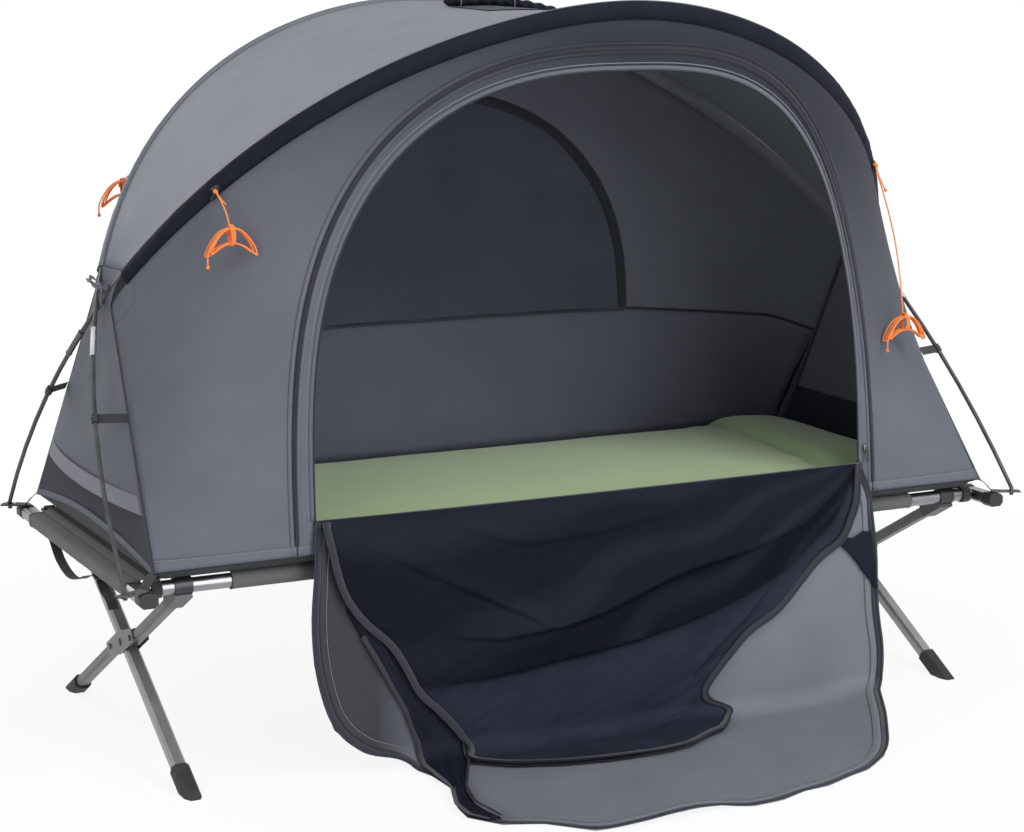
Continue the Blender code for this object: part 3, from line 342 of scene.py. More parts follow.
@dataclass(frozen=True)
class Netting(Finish):
    """Fine insect netting."""

    pitch: float = 0.0016
    cover: float = 0.80
    sheen: float = 0.05
    shine: float = 0.25
    double_and_shade: Triple | None = None

    def write(self, recipe: Recipe) -> None:
        """Knit fine threads with small holes between them."""
        flat = recipe.place(Space.CLOTH)
        across, along, _ = recipe.split(flat)
        turn = pi / self.pitch
        first, second = (across * turn).sine().size(), (along * turn).sine().size()
        thread = first.larger(second)
        hole = recipe.span(thread, 0.35, 0.6, self.cover, 1.0)
        cloud = recipe.noise(flat, 5.0, 3.0)
        colour = recipe.blend(recipe.span(cloud, 0.3, 0.7), self.shade, self.colour)
        # The layers attribute darkens the net where it lies in two layers, and paints shadow under its pleats
        # and highlight streaks.
        if self.double_and_shade:
            layers = recipe.wire(recipe.node("Attribute", {"attribute_name": "layers"}), "Fac")
            colour = recipe.blend(layers, colour, self.double_and_shade)
        recipe.feed(Base_Color=colour)
        recipe.feed(Alpha=hole, Roughness=recipe.span(cloud, 0.2, 0.8, 0.62, 0.76))
        recipe.feed(Sheen_Weight=self.sheen, Specular_IOR_Level=self.shine)
        recipe.relief((thread, self.pitch * 0.15))


@dataclass(frozen=True)
class Webbing(Finish):
    """Woven tape with ribs across it."""

    rib: float = 0.0022

    def write(self, recipe: Recipe) -> None:
        """Run ribs across the tape, with a chevron between them."""
        flat = recipe.place(Space.CLOTH)
        along, across, _ = recipe.split(flat)
        turn = 2 * pi / self.rib
        chevron = (along * turn + (across * turn * 0.5).sine() * 1.6).sine() * 0.5 + 0.5
        fuzz = recipe.noise(flat, 900.0, 2.0)
        share = recipe.span(chevron * 0.6 + fuzz * 0.4, 0.2, 0.8)
        recipe.feed(Base_Color=recipe.blend(share, self.shade, self.colour))
        recipe.feed(Roughness=recipe.span(fuzz, 0.2, 0.8, 0.70, 0.88), Sheen_Weight=0.2)
        recipe.relief((chevron, self.rib * 0.2), (fuzz, 0.0001))


@dataclass(frozen=True)
class Metal(Finish):
    """Drawn tube or pressed sheet, bare or coated."""

    metal: float = 1.0
    gloss: float = 0.32
    turn: Triple = (0.0, 0.0, 0.0)

    def write(self, recipe: Recipe) -> None:
        """Draw fine lines along X, with faint smudges and small scuffs."""
        lines = recipe.noise(recipe.place(Space.OBJECT, self.turn, (6.0, 900.0, 900.0)), 1.0, 2.0)
        smudge = recipe.noise(recipe.place(Space.OBJECT), 14.0, 4.0)
        slanted = recipe.place(Space.OBJECT, (0.4, 0.3, 0.9), (40.0, 260.0, 260.0))
        scuff = recipe.noise(slanted, 1.0, 5.0, 0.7) > 0.71
        share = recipe.span(lines * 0.45 + smudge * 0.55, 0.35, 0.65)
        recipe.feed(Base_Color=recipe.blend(share, self.shade, self.colour), Metallic=self.metal)
        rough = recipe.span(smudge * 0.6 + lines * 0.4, 0.3, 0.7, self.gloss - 0.05, self.gloss + 0.09)
        recipe.feed(Roughness=rough + scuff * 0.15)
        recipe.relief((lines, 0.00004), (smudge, 0.0001))


@dataclass(frozen=True)
class Moulded(Finish):
    """Moulded plastic or rubber with a fine grain."""

    gloss: float = 0.5
    grain: float = 0.00012

    def write(self, recipe: Recipe) -> None:
        """Grain the surface and dust it lightly."""
        grain = recipe.noise(recipe.place(Space.OBJECT), 1400.0, 2.0)
        dust = recipe.noise(recipe.place(Space.OBJECT), 22.0, 5.0, 0.6)
        recipe.feed(Base_Color=recipe.blend(recipe.span(dust, 0.40, 0.75), self.colour, self.shade))
        recipe.feed(Roughness=recipe.span(dust, 0.3, 0.7, self.gloss, self.gloss + 0.15))
        recipe.relief((grain, self.grain))


@dataclass(frozen=True)
class Braid(Finish):
    """Braided cord."""

    strand: float = 0.0022

    def write(self, recipe: Recipe) -> None:
        """Cross two sets of slanted strands."""
        x, y, z = recipe.split(recipe.place(Space.OBJECT))
        turn = 2 * pi / self.strand
        one = ((x + z) * turn + y * turn * 0.6).sine()
        other = ((x - z) * turn - y * turn * 0.6).sine()
        strands = (one * other) * 0.5 + 0.5
        fuzz = recipe.noise(recipe.place(Space.OBJECT), 700.0, 2.0)
        share = recipe.span(strands * 0.7 + fuzz * 0.3, 0.1, 0.8)
        recipe.feed(Base_Color=recipe.blend(share, self.shade, self.colour))
        recipe.feed(Roughness=recipe.span(fuzz, 0.2, 0.8, 0.55, 0.75), Sheen_Weight=0.2)
        recipe.relief((strands, 0.0003))


@dataclass(frozen=True)
class Brushed(Finish):
    """A soft brushed cover over foam."""

    def write(self, recipe: Recipe) -> None:
        """Lay a short nap with broad soft patches and a fine knit."""
        nap = recipe.noise(recipe.place(Space.OBJECT), 420.0, 3.0)
        patch = recipe.noise(recipe.place(Space.OBJECT), 4.0, 3.0)
        x, y, _ = recipe.split(recipe.place(Space.OBJECT))
        knit = (x * 3100.0).sine() * (y * 3100.0).sine() * 0.5 + 0.5
        share = recipe.span(patch * 0.55 + nap * 0.3 + knit * 0.15, 0.3, 0.7)
        recipe.feed(Base_Color=recipe.blend(share, self.shade, self.colour))
        recipe.feed(Roughness=recipe.span(nap, 0.2, 0.8, 0.80, 0.95))
        recipe.feed(Sheen_Weight=0.3, Specular_IOR_Level=0.25)
        dimple = recipe.noise(recipe.place(Space.OBJECT), 30.0, 3.0)
        recipe.relief((dimple, 0.0012), (nap, 0.0003))


@dataclass(frozen=True)
class Zip(Finish):
    """A zip's coil, ribbed along its length."""

    tooth: float = 0.0022

    def write(self, recipe: Recipe) -> None:
        """Set teeth along the piece's own map."""
        along, _, _ = recipe.split(recipe.place(Space.CLOTH))
        teeth = (along * (2 * pi / self.tooth)).sine() * 0.5 + 0.5
        recipe.feed(Base_Color=recipe.blend(teeth, self.shade, self.colour))
        recipe.feed(Roughness=recipe.span(teeth, 0.0, 1.0, 0.65, 0.42))
        recipe.relief((teeth, 0.0006))


# Painted shade: the front wall darkens towards its crown, standing in for the shade on its upper part.
CROWN_PAINTED_SHADE = Fade((0.35, 0.0, 1.0), 0.86, 1.36, tone(36, 39, 52))
# Painted shade: the door panel darkens towards its left end, standing in for the shade on its free left lobe.
LOBE_PAINTED_SHADE = Fade((-1.0, 0.0, 0.0), 0.36, 0.50, tone(44, 47, 53))
ROOF_CLOTH = Cloth(
    "roof cloth", "roof_cloth", tone(132, 136, 147), tone(120, 124, 135), gloss=0.50, through=0.22
)
WALL_CLOTH = Cloth("wall cloth", "wall_cloth", tone(106, 110, 122), tone(97, 101, 112), through=0.22)
FRONT_CLOTH = replace(WALL_CLOTH, name="front wall cloth", painted_shades=(CROWN_PAINTED_SHADE,))
INNER_CLOTH = Cloth("lower wall cloth", "wall_cloth", tone(106, 110, 124), tone(96, 100, 114), through=0.25)
DARK_CLOTH = Cloth(
    "dark sleeve cloth", "dark_cloth", tone(27, 30, 43), tone(18, 21, 32), gloss=0.6, sheen=0.0, shine=0.1
)
BED_CLOTH = Cloth("bed cloth", "bed_cloth", tone(96, 96, 98), tone(82, 82, 84), thread=0.0016, gloss=0.75)
FLOOR_CLOTH = Cloth("floor cloth", "bed_cloth", tone(34, 36, 42), tone(26, 28, 34), gloss=0.6)
DOOR_CLOTH = Cloth(
    "door cloth", "door_cloth", tone(109, 113, 122), tone(100, 104, 113), gloss=0.58, painted_shades=(LOBE_PAINTED_SHADE,)
)
# The door net's darkest colour marks where it lies in two layers, with painted shadow under its pleats and
# painted highlight streaks.
DOOR_NET = Netting(
    "door netting", "dark_cloth", tone(42, 46, 59), tone(35, 39, 52),
    cover=0.96, sheen=0.0, shine=0.08, double_and_shade=tone(8, 11, 22),
)
VENT_NET = Netting("vent netting", "dark_cloth", tone(40, 44, 58), tone(28, 31, 43), cover=0.93)
WINDOW_NET = Netting("window netting", "dark_cloth", tone(70, 74, 90), tone(58, 62, 76), cover=0.92)
BINDING = Webbing("dark binding", "dark_cloth", tone(34, 38, 52), tone(22, 25, 36), rib=0.0012)
TAPE = Webbing("black webbing", "webbing", tone(34, 34, 38), tone(16, 16, 19))
GREY_TAPE = Webbing("grey tape", "webbing", tone(108, 112, 122), tone(84, 88, 98), rib=0.0014)
ORANGE_CORD = Braid("orange cord", "orange_cord", tone(255, 150, 62), tone(222, 96, 20))
GREEN_COVER = Brushed("green cover", "mattress_cloth", tone(166, 188, 140), tone(154, 175, 128))
ALUMINIUM = Metal("drawn aluminium", "tube_aluminium", tone(158, 158, 161), tone(134, 134, 137))
BAR_METAL = replace(ALUMINIUM, name="drawn aluminium bar", turn=(0.0, 0.0, pi / 2))
STEEL = Metal("plated steel", "plated_steel", tone(112, 112, 116), tone(84, 84, 88), metal=0.7, gloss=0.36)
DARK_STEEL = Metal(
    "dark plated steel", "plated_steel", tone(70, 70, 73), tone(52, 52, 55), metal=0.6, gloss=0.38
)
LEG_TILT = atan2(0.195, 0.350)
LONG_LEG_METAL = Metal(
    "grey long leg coating", "leg_metal", tone(158, 158, 161), tone(134, 134, 137),
    metal=0.5, gloss=0.34, turn=(-LEG_TILT, 0.0, -pi / 2),
)
# Painted shade: the short legs take a darker copy of the leg metal, standing in for the shade on them.
SHADED_SHORT_LEG_METAL = Metal(
    "grey short leg coating in painted shade", "leg_metal", tone(88, 88, 91), tone(70, 70, 73),
    metal=0.5, gloss=0.34, turn=(LEG_TILT, 0.0, pi / 2),
)
ROD = Moulded("dark glass rod", "pole_fibre", tone(46, 46, 48), tone(70, 70, 72), gloss=0.3, grain=0.00003)
FERRULE = Metal("pole ferrule", "plated_steel", tone(214, 214, 220), tone(184, 184, 192), gloss=0.28)
BLACK_PLASTIC = Moulded("black plastic", "black_plastic", tone(30, 30, 32), tone(52, 52, 54), gloss=0.42)
RUBBER = Moulded("black rubber", "foot_rubber", tone(34, 34, 35), tone(58, 58, 58), gloss=0.7)
ZIP_COIL = Zip("zip coil", "black_plastic", tone(44, 47, 60), tone(16, 17, 24))
CASING = Webbing("tape edge", "wall_cloth", tone(118, 122, 132), tone(96, 100, 110), rib=0.0014)
EDGE_TAPE = Webbing("opening tape", "wall_cloth", tone(92, 96, 108), tone(74, 78, 90), rib=0.0014)


def settle(
    obj: Object, finish: Finish, *nodes: str, body: str | None = "shelter", slot: str = ""
) -> Object:
    """Give a finished piece its material and body, and hide the CAD nodes it stands for.

    Args:
        obj: the piece.
        finish: its finish.
        nodes: CAD nodes that it replaces.
        body: the CAD body that it rides on, or None for one that blends between two.
        slot: the record's material slot, where it isn't the finish's own; not used.

    Returns:
        The piece.
    """
    obj.data.materials.clear()
    obj.data.materials.append(finish.material())
    if body:
        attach(obj, body)
    slot or finish.slot
    if nodes:
        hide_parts(*nodes)
    LOG.info("%s on %s in %s", obj.name, body, finish.name)
    return obj


def link(name: str, data: bpy.types.ID) -> Object:
    """Link a new object."""
    obj = bpy.data.objects.new(name, data)
    bpy.context.scene.collection.objects.link(obj)
    return obj


def from_bmesh(name: str, bm: bmesh.types.BMesh, smooth: bool = True) -> Object:
    """Turn a bmesh into a linked object with its faces pointing outwards."""
    bmesh.ops.recalc_face_normals(bm, faces=bm.faces)
    for face in bm.faces:
        face.smooth = smooth
    mesh = bpy.data.meshes.new(name)
    bm.to_mesh(mesh)
    bm.free()
    return link(name, mesh)


def thicken(obj: Object, thickness: float, offset: float = 0.0) -> Object:
    """Give a sheet its thickness with a Solidify modifier."""
    modifier = obj.modifiers.new("thickness", "SOLIDIFY")
    modifier.thickness = thickness
    modifier.offset = offset
    return obj


def round_off(obj: Object, width: float, segments: int = 2) -> Object:
    """Round a piece's sharp edges with a Bevel modifier."""
    modifier = obj.modifiers.new("rounding", "BEVEL")
    modifier.width = width
    modifier.segments = segments
    modifier.limit_method = "ANGLE"
    modifier.angle_limit = radians(35)
    modifier.harden_normals = True
    return obj


def subdivide(obj: Object, levels: int = 1) -> Object:
    """Smooth a piece with a Subdivision Surface modifier."""
    modifier = obj.modifiers.new("smoothing", "SUBSURF")
    modifier.levels = levels
    modifier.render_levels = levels
    return obj


def apply_modifiers(obj: Object) -> Object:
    """Replace a piece's mesh with what its modifiers make of it."""
    graph = bpy.context.evaluated_depsgraph_get()
    mesh = bpy.data.meshes.new_from_object(obj.evaluated_get(graph), depsgraph=graph)
    obj.modifiers.clear()
    obj.data = mesh
    return obj


def sheet_piece(
    name: str,
    columns: int,
    rows: int,
    place: Callable[[float, float], Vector],
    size: tuple[float, float],
    thickness: float = 0.0,
    offset: float = 0.0,
    weld: bool = False,
) -> Object:
    """Lay a grid over a surface.

    Args:
        name: the piece's name.
        columns: faces along the first direction.
        rows: faces along the second.
        place: the surface, from a first value in -1 to 1 and a second in 0 to 1.
        size: the cloth's length along both directions, for its weave.
        thickness: the cloth's thickness, or 0 to leave it thin.
        offset: where the thickness goes, from -1 for inside to 1 for outside.
        weld: whether edges that meet are joined.

    Returns:
        The sheet's object.
    """
    bm = bmesh.new()
    bmesh.ops.create_grid(bm, x_segments=columns, y_segments=rows, size=0.5)
    layer = bm.loops.layers.uv.new("UVMap")
    for face in bm.faces:
        for loop in face.loops:
            spot = loop.vert.co
            loop[layer].uv = ((spot.x + 0.5) * size[0], (spot.y + 0.5) * size[1])
    for vert in bm.verts:
        vert.co = place(2 * vert.co.x, vert.co.y + 0.5)
    if weld:
        bmesh.ops.remove_doubles(bm, verts=bm.verts, dist=0.00005)
    sheet = from_bmesh(name, bm)
    return thicken(sheet, thickness, offset) if thickness else sheet


def mark(obj: Object, size: tuple[float, float], value: Callable[[float, float], float]) -> None:
    """Store a value from 0 to 1 over a sheet, as its layers attribute.

    Args:
        obj: a sheet made by sheet_piece.
        size: the size that it was made with.
        value: the value, from the two numbers that place the sheet.
    """
    layer = obj.data.attributes.new("layers", "FLOAT", "POINT")
    flat = obj.data.uv_layers["UVMap"].data
    for loop in obj.data.loops:
        u, v = flat[loop.index].uv
        layer.data[loop.vertex_index].value = value(2 * u / size[0] - 1, v / size[1])


def tube_piece(
    name: str, points: Sequence[Vector], radius: float, closed: bool = False, sides: int = 3
) -> Object:
    """Make a round curve through points."""
    curve = bpy.data.curves.new(name, "CURVE")
    curve.dimensions = "3D"
    curve.bevel_depth = radius
    curve.bevel_resolution = sides
    curve.use_fill_caps = not closed
    spline = curve.splines.new("POLY")
    spline.points.add(len(points) - 1)
    for point, spot in zip(spline.points, points):
        point.co = (*spot, 1.0)
    spline.use_cyclic_u = closed
    spline.use_smooth = True
    return link(name, curve)


def smooth_path(points: Sequence[Vector], steps: int) -> list[Vector]:
    """Return a Catmull-Rom curve through points, with steps between each pair."""
    ends = [points[0] * 2 - points[1], *points, points[-1] * 2 - points[-2]]
    path = []
    for a, b, c, d in zip(ends, ends[1:], ends[2:], ends[3:]):
        for t in (i / steps for i in range(steps)):
            square, cube = a * 2 - b * 5 + c * 4 - d, b * 3 - a - c * 3 + d
            path.append((b * 2 + (c - a) * t + square * t**2 + cube * t**3) / 2)
    return [*path, points[-1].copy()]


def path_length(points: Sequence[Vector]) -> float:
    """Return the length of a line through points."""
    return sum((b - a).length for a, b in zip(points, points[1:]))


def circle(count: int, past: int = 0) -> list[float]:
    """Return the angles of even steps round a circle, and of some steps past its start."""
    return [2 * pi * i / count for i in range(count + past)]


def powered(value: float, power: float) -> float:
    """Return a value's size raised to a power, with the value's sign."""
    return copysign(abs(value) ** power, value)


def height_on(line: Line, x: float) -> float | None:
    """Return a line's height at x, or None beyond its ends."""
    for (ax, ah), (bx, bh) in zip(line, line[1:]):
        if ax <= x <= bx:
            return ah + (bh - ah) * (x - ax) / (bx - ax)
    return None


def strap_piece(
    name: str, path: Sequence[Vector], across: Vector | Sequence[Vector], width: float, thickness: float
) -> Object:
    """Lay a flat strap along a path.

    Args:
        name: the piece's name.
        path: its middle line.
        across: the direction of its width, one for all or one for each point.
        width: its width.
        thickness: its thickness.

    Returns:
        The strap's object.
    """
    sides = [across] * len(path) if isinstance(across, Vector) else list(across)
    last = len(path) - 1
    length = path_length(path)

    def place(u: float, v: float) -> Vector:
        share = (u + 1) / 2 * last
        index = min(int(share), last - 1)
        part = share - index
        middle = path[index].lerp(path[index + 1], part)
        side = sides[index].lerp(sides[index + 1], part).normalized()
        return middle + side * (width * (v - 0.5))

    strap = sheet_piece(name, last, 4, place, (length, width), thickness)
    return round_off(strap, thickness * 0.3)


def refined_copy(node: str, bevel: float) -> Object:
    """Copy a rigid CAD node, join its triangles, shade it by angle and round its edges."""
    bm = bmesh.new()
    bm.from_mesh(frame["nodes"][node].data)
    bmesh.ops.remove_doubles(bm, verts=bm.verts, dist=0.00002)
    bmesh.ops.dissolve_limit(bm, angle_limit=radians(0.5), verts=bm.verts, edges=bm.edges)
    for face in bm.faces:
        face.smooth = True
    for edge in bm.edges:
        edge.smooth = edge.is_manifold and edge.calc_face_angle(pi) < radians(40)
    mesh = bpy.data.meshes.new(node)
    bm.to_mesh(mesh)
    bm.free()
    copy = link(f"{node}_finished", mesh)
    if bevel:
        round_off(copy, bevel)
    return copy


def ridge(value: float) -> float:
    """Return a smooth ridge from 0 to 1 for a wave value in turns."""
    return 0.5 + 0.5 * cos(2 * pi * value)


def grain(spot: Vector, scale: float) -> float:
    """Return seeded noise from -1 to 1 at a place."""
    return noise.noise(spot * scale)


def ease(value: float) -> float:
    """Return a value in 0 to 1 with eased ends."""
    value = max(0.0, min(1.0, value))
    return value * value * (3 - 2 * value)


class Surface:
    """A piece's surface, for laying other pieces on it."""

    def __init__(self, obj: Object) -> None:
        """Keep the piece's evaluated faces."""
        graph = bpy.context.evaluated_depsgraph_get()
        self.tree = BVHTree.FromObject(obj, graph)

    def hit(self, start: Vector, direction: Vector) -> tuple[Vector, Vector]:
        """Return the point and normal where a ray meets the surface, or those nearest to its start."""
        spot, normal, _, _ = self.tree.ray_cast(start, direction)
        if spot is None:
            spot, normal, _, _ = self.tree.find_nearest(start)
        return spot, normal if normal.dot(direction) < 0 else -normal


@dataclass(frozen=True)
class Arch:
    """One of the two pole arches."""

    front: bool
    foot_x: float = 0.9824
    foot_y: float = 0.428
    base_z: float = 0.409
    apex_z: float = 1.456
    apex_y: float = 0.508
    belly: float = 0.009
    rise_share: float = 0.794
    crown_share: float = 0.332
    pole_radius: float = 0.0045
    crossing_gap: float = 0.001

    def share(self, t: float) -> tuple[float, float]:
        """Return the reach from the middle plane and the share of the rise, from foot (0) to apex (1)."""
        weights = ((1 - t) ** 3, 3 * t * (1 - t) ** 2, 3 * t * t * (1 - t), t**3)
        reaches = (self.foot_x, self.foot_x + self.belly, self.crown_share * self.foot_x, 0.0)
        rises = (0.0, self.rise_share, 1.0, 1.0)
        return sum(w * r for w, r in zip(weights, reaches)), sum(w * r for w, r in zip(weights, rises))

    def parameter(self, share: float) -> float:
        """Find the parameter at which the arch has risen by a share."""
        low, high = 0.0, 1.0
        for _ in range(40):
            middle = (low + high) / 2
            if self.share(middle)[1] < share:
                low = middle
            else:
                high = middle
        return (low + high) / 2

    def point(self, side: float, t: float) -> Vector:
        """Return a point of the pole's centre line on one side."""
        x, share = self.share(t)
        if not self.front:
            crossing = self.share(self.parameter(self.foot_y / (self.foot_y + self.apex_y)))[0]
            x *= 1 + (2 * self.pole_radius + self.crossing_gap) / crossing
        y = self.foot_y - (self.foot_y + self.apex_y) * share
        z = self.base_z + share * (self.apex_z - self.base_z)
        return Vector((side * x, CENTRE_Y + (y if self.front else -y), z))

    def along(self, q: float, start: float) -> Vector:
        """Return the point at q from -1 over the apex (0) to 1, where 1 has risen by a start share."""
        first = self.parameter(start)
        return self.point(-1.0 if q < 0 else 1.0, 1 - (1 - first) * min(1.0, abs(q)))


@dataclass(frozen=True)
class WallShape:
    """A long wall's surface, which runs straight from its hem to the pole sleeve."""

    arch: Arch
    start: float
    base_x: float = 0.930
    base_y: float = 0.388
    hem_z: float = 0.4396
    sleeve_drop: float = 0.0265

    def frame_at(self, q: float) -> tuple[Vector, Vector, Vector]:
        """Return the arch point, the direction down the wall and the direction across the sleeve."""
        place = self.arch.along(q, self.start)
        step = 0.01
        before = self.arch.along(max(-1, q - step), self.start)
        after = self.arch.along(min(1, q + step), self.start)
        along = (after - before).normalized()
        down = self.hem(place) - place
        down = (down - along * down.dot(along)).normalized()
        return place, down, along.cross(down).normalized()

    def hem(self, place: Vector) -> Vector:
        """Return the foot of the wall's line that ends at an arch point."""
        limit = self.arch.along(1.0, self.start).x
        reach = max(-1.0, min(1.0, place.x / limit))
        y = -self.base_y if self.arch.front else self.base_y
        return Vector((reach * self.base_x, CENTRE_Y + y, self.hem_z))

    def point(self, q: float, v: float) -> Vector:
        """Return the wall at q along it and v up it, taut but for faint creases."""
        place, down, _ = self.frame_at(q)
        spot = self.hem(place).lerp(place + down * self.sleeve_drop, v)
        bay = sin(pi * v) * (1 - q**4)
        fold = grain(Vector((spot.x * 1.0, 0.3 if self.arch.front else 7.1, spot.z * 0.55)), 6.0)
        fine = grain(Vector((spot.x, 2.0, spot.z * 0.4)), 17.0)
        spot.y += bay * (0.0022 * fold + 0.0009 * fine)
        return spot


FRONT_ARCH = Arch(True)
REAR_ARCH = Arch(False)
FRONT_SHAPE = WallShape(FRONT_ARCH, 0.475)
REAR_SHAPE = WallShape(REAR_ARCH, 0.502)


@dataclass(frozen=True)
class Dome:
    """A half outline like a D on its side, of a superellipse."""

    half_width: float
    base_z: float
    top_z: float
    power: float

    def spot(self, u: float) -> tuple[float, float]:
        """Return x and z of the outline at u, from -1 at its left foot to 1 at its right foot."""
        angle = pi * (1 - u) / 2
        across = powered(cos(angle), 2 / self.power)
        up = abs(sin(angle)) ** (2 / self.power)
        return self.half_width * across, self.base_z + (self.top_z - self.base_z) * up

    def even(self, count: int) -> list[tuple[float, float]]:
        """Return evenly spaced points of the outline."""
        fine = [self.spot(-1 + 2 * i / 600) for i in range(601)]
        lengths = [0.0]
        for (ax, az), (bx, bz) in zip(fine, fine[1:]):
            lengths.append(lengths[-1] + hypot(bx - ax, bz - az))
        points, index = [], 0
        for i in range(count + 1):
            want = lengths[-1] * i / count
            while index < len(lengths) - 2 and lengths[index + 1] < want:
                index += 1
            part = (want - lengths[index]) / (lengths[index + 1] - lengths[index])
            (ax, az), (bx, bz) = fine[index], fine[index + 1]
            points.append((ax + (bx - ax) * part, az + (bz - az) * part))
        return points

    def length(self) -> float:
        """Return the outline's length."""
        points = self.even(60)
        return sum(hypot(b[0] - a[0], b[1] - a[1]) for a, b in zip(points, points[1:]))

    def grown(self, by: float) -> "Dome":
        """Return an outline that lies further out."""
        return Dome(self.half_width + by, self.base_z, self.top_z + by, self.power)


def cut_out(
    obj: Object, dome: Dome, low_y: float, high_y: float, keep: bool = False
) -> Object:
    """Cut a dome-shaped opening through a thick sheet, or keep only what is inside it."""
    bm = bmesh.new()
    ring = [bm.verts.new((x, low_y, z)) for x, z in dome.even(96)]
    face = bm.faces.new(ring)
    grown = bmesh.ops.extrude_face_region(bm, geom=[face])["geom"]
    far = [item for item in grown if isinstance(item, bmesh.types.BMVert)]
    bmesh.ops.translate(bm, verts=far, vec=(0, high_y - low_y, 0))
    tool = from_bmesh("opening cutter", bm)
    modifier = obj.modifiers.new("opening", "BOOLEAN")
    modifier.operation = "INTERSECT" if keep else "DIFFERENCE"
    modifier.solver = "EXACT"
    modifier.object = tool
    apply_modifiers(obj)
    bpy.data.objects.remove(tool, do_unlink=True)
    return obj


@dataclass
class Studio:
    """Camera, lights, floor and white surroundings."""

    camera_place: Triple = (-2.2119, -4.4128, 1.4989)
    camera_turn: Triple = (79.57, 0.0, -26.55)
    lens: float = 83.06
    sensor: float = 36.0
    floor_size: float = 16.0
    shadow_reach: tuple[float, float] = (1.1, 2.6)
    shadow_white: float = 0.88
    lamps: tuple[tuple[str, Triple, float, float], ...] = (
        ("key lamp", (1.6, -3.9, 4.1), 165.0, 2.6),
        ("fill lamp", (-4.2, -2.6, 3.0), 55.0, 3.0),
        ("rear lamp", (-2.0, 4.2, 3.4), 75.0, 3.0),
        ("front lamp", (0.4, -5.2, 1.3), 70.0, 2.0),
    )

    def build(self) -> None:
        """Make them all."""
        self.make_camera()
        self.make_floor()
        self.make_world()
        for name, place, power, size in self.lamps:
            self.make_lamp(name, place, power, size)
        bpy.context.scene.view_settings.view_transform = "Standard"

    def make_camera(self) -> None:
        """Set the camera at the photograph's viewpoint."""
        data = bpy.data.cameras.new("camera")
        data.lens = self.lens
        data.sensor_width = self.sensor
        camera = link("camera", data)
        x, y, z = self.camera_place
        camera.location = (x, y + CENTRE_Y, z)
        camera.rotation_euler = [radians(angle) for angle in self.camera_turn]
        bpy.context.scene.camera = camera

    def make_floor(self) -> None:
        """Lay a pale floor that the camera sees as white, apart from the shadow on it."""
        bm = bmesh.new()
        bmesh.ops.create_grid(bm, x_segments=8, y_segments=8, size=self.floor_size / 2)
        bmesh.ops.translate(bm, verts=bm.verts, vec=(0, 0, -0.0004))
        floor = from_bmesh("studio_floor", bm)
        recipe = Recipe("studio floor")
        cloud = recipe.noise(recipe.place(Space.OBJECT), 0.8, 2.0)
        recipe.feed(Base_Color=recipe.blend(cloud, (0.86, 0.86, 0.86), (0.88, 0.88, 0.88)), Roughness=0.9)
        recipe.feed(Specular_IOR_Level=0.0, Emission_Color=(1.0, 1.0, 1.0, 1.0))
        rays = recipe.node("LightPath")
        seen = recipe.wire(rays, "Is Camera Ray").larger(recipe.wire(rays, "Is Glossy Ray"))
        x, y, _ = recipe.split(recipe.place(Space.OBJECT))
        share = recipe.span((x * x + y * y) ** 0.5, *self.shadow_reach, self.shadow_white, 1.0)
        white = recipe.node("Emission", None, {"Color": (1.0, 1.0, 1.0, 1.0), "Strength": 1.0})
        mixer = recipe.node("MixShader", None, {0: seen * share})
        recipe.tree.links.new(recipe.shader.outputs[0], mixer.inputs[1])
        recipe.tree.links.new(white.outputs[0], mixer.inputs[2])
        output = recipe.tree.nodes["Material Output"]
        recipe.tree.links.new(mixer.outputs[0], output.inputs["Surface"])
        floor.data.materials.append(recipe.material)

    def make_world(self) -> None:
        """Light the object evenly and show white behind it."""
        world = bpy.data.worlds.new("studio")
        world.use_nodes = True
        bpy.context.scene.world = world
        tree = world.node_tree
        rays = tree.nodes.new("ShaderNodeLightPath")
        glossy, clear = rays.outputs["Is Glossy Ray"], rays.outputs["Is Transmission Ray"]
        shine = Wire(tree, glossy).larger(Wire(tree, clear))
        seen = Wire(tree, rays.outputs["Is Camera Ray"]).larger(shine * 0.8)
        backdrop = tree.nodes["Background"]
        backdrop.inputs["Color"].default_value = (1.0, 1.0, 1.0, 1.0)
        tree.links.new((seen * 0.45 + 0.55).socket, backdrop.inputs["Strength"])

    def make_lamp(self, name: str, place: Triple, power: float, size: float) -> None:
        """Hang a soft lamp that faces the object."""
        data = bpy.data.lights.new(name, "AREA")
        data.energy = power
        data.size = size
        lamp = link(name, data)
        lamp.location = place
        aim = Vector((0.0, CENTRE_Y, 0.7)) - Vector(place)
        lamp.rotation_euler = aim.to_track_quat("-Z", "Y").to_euler()


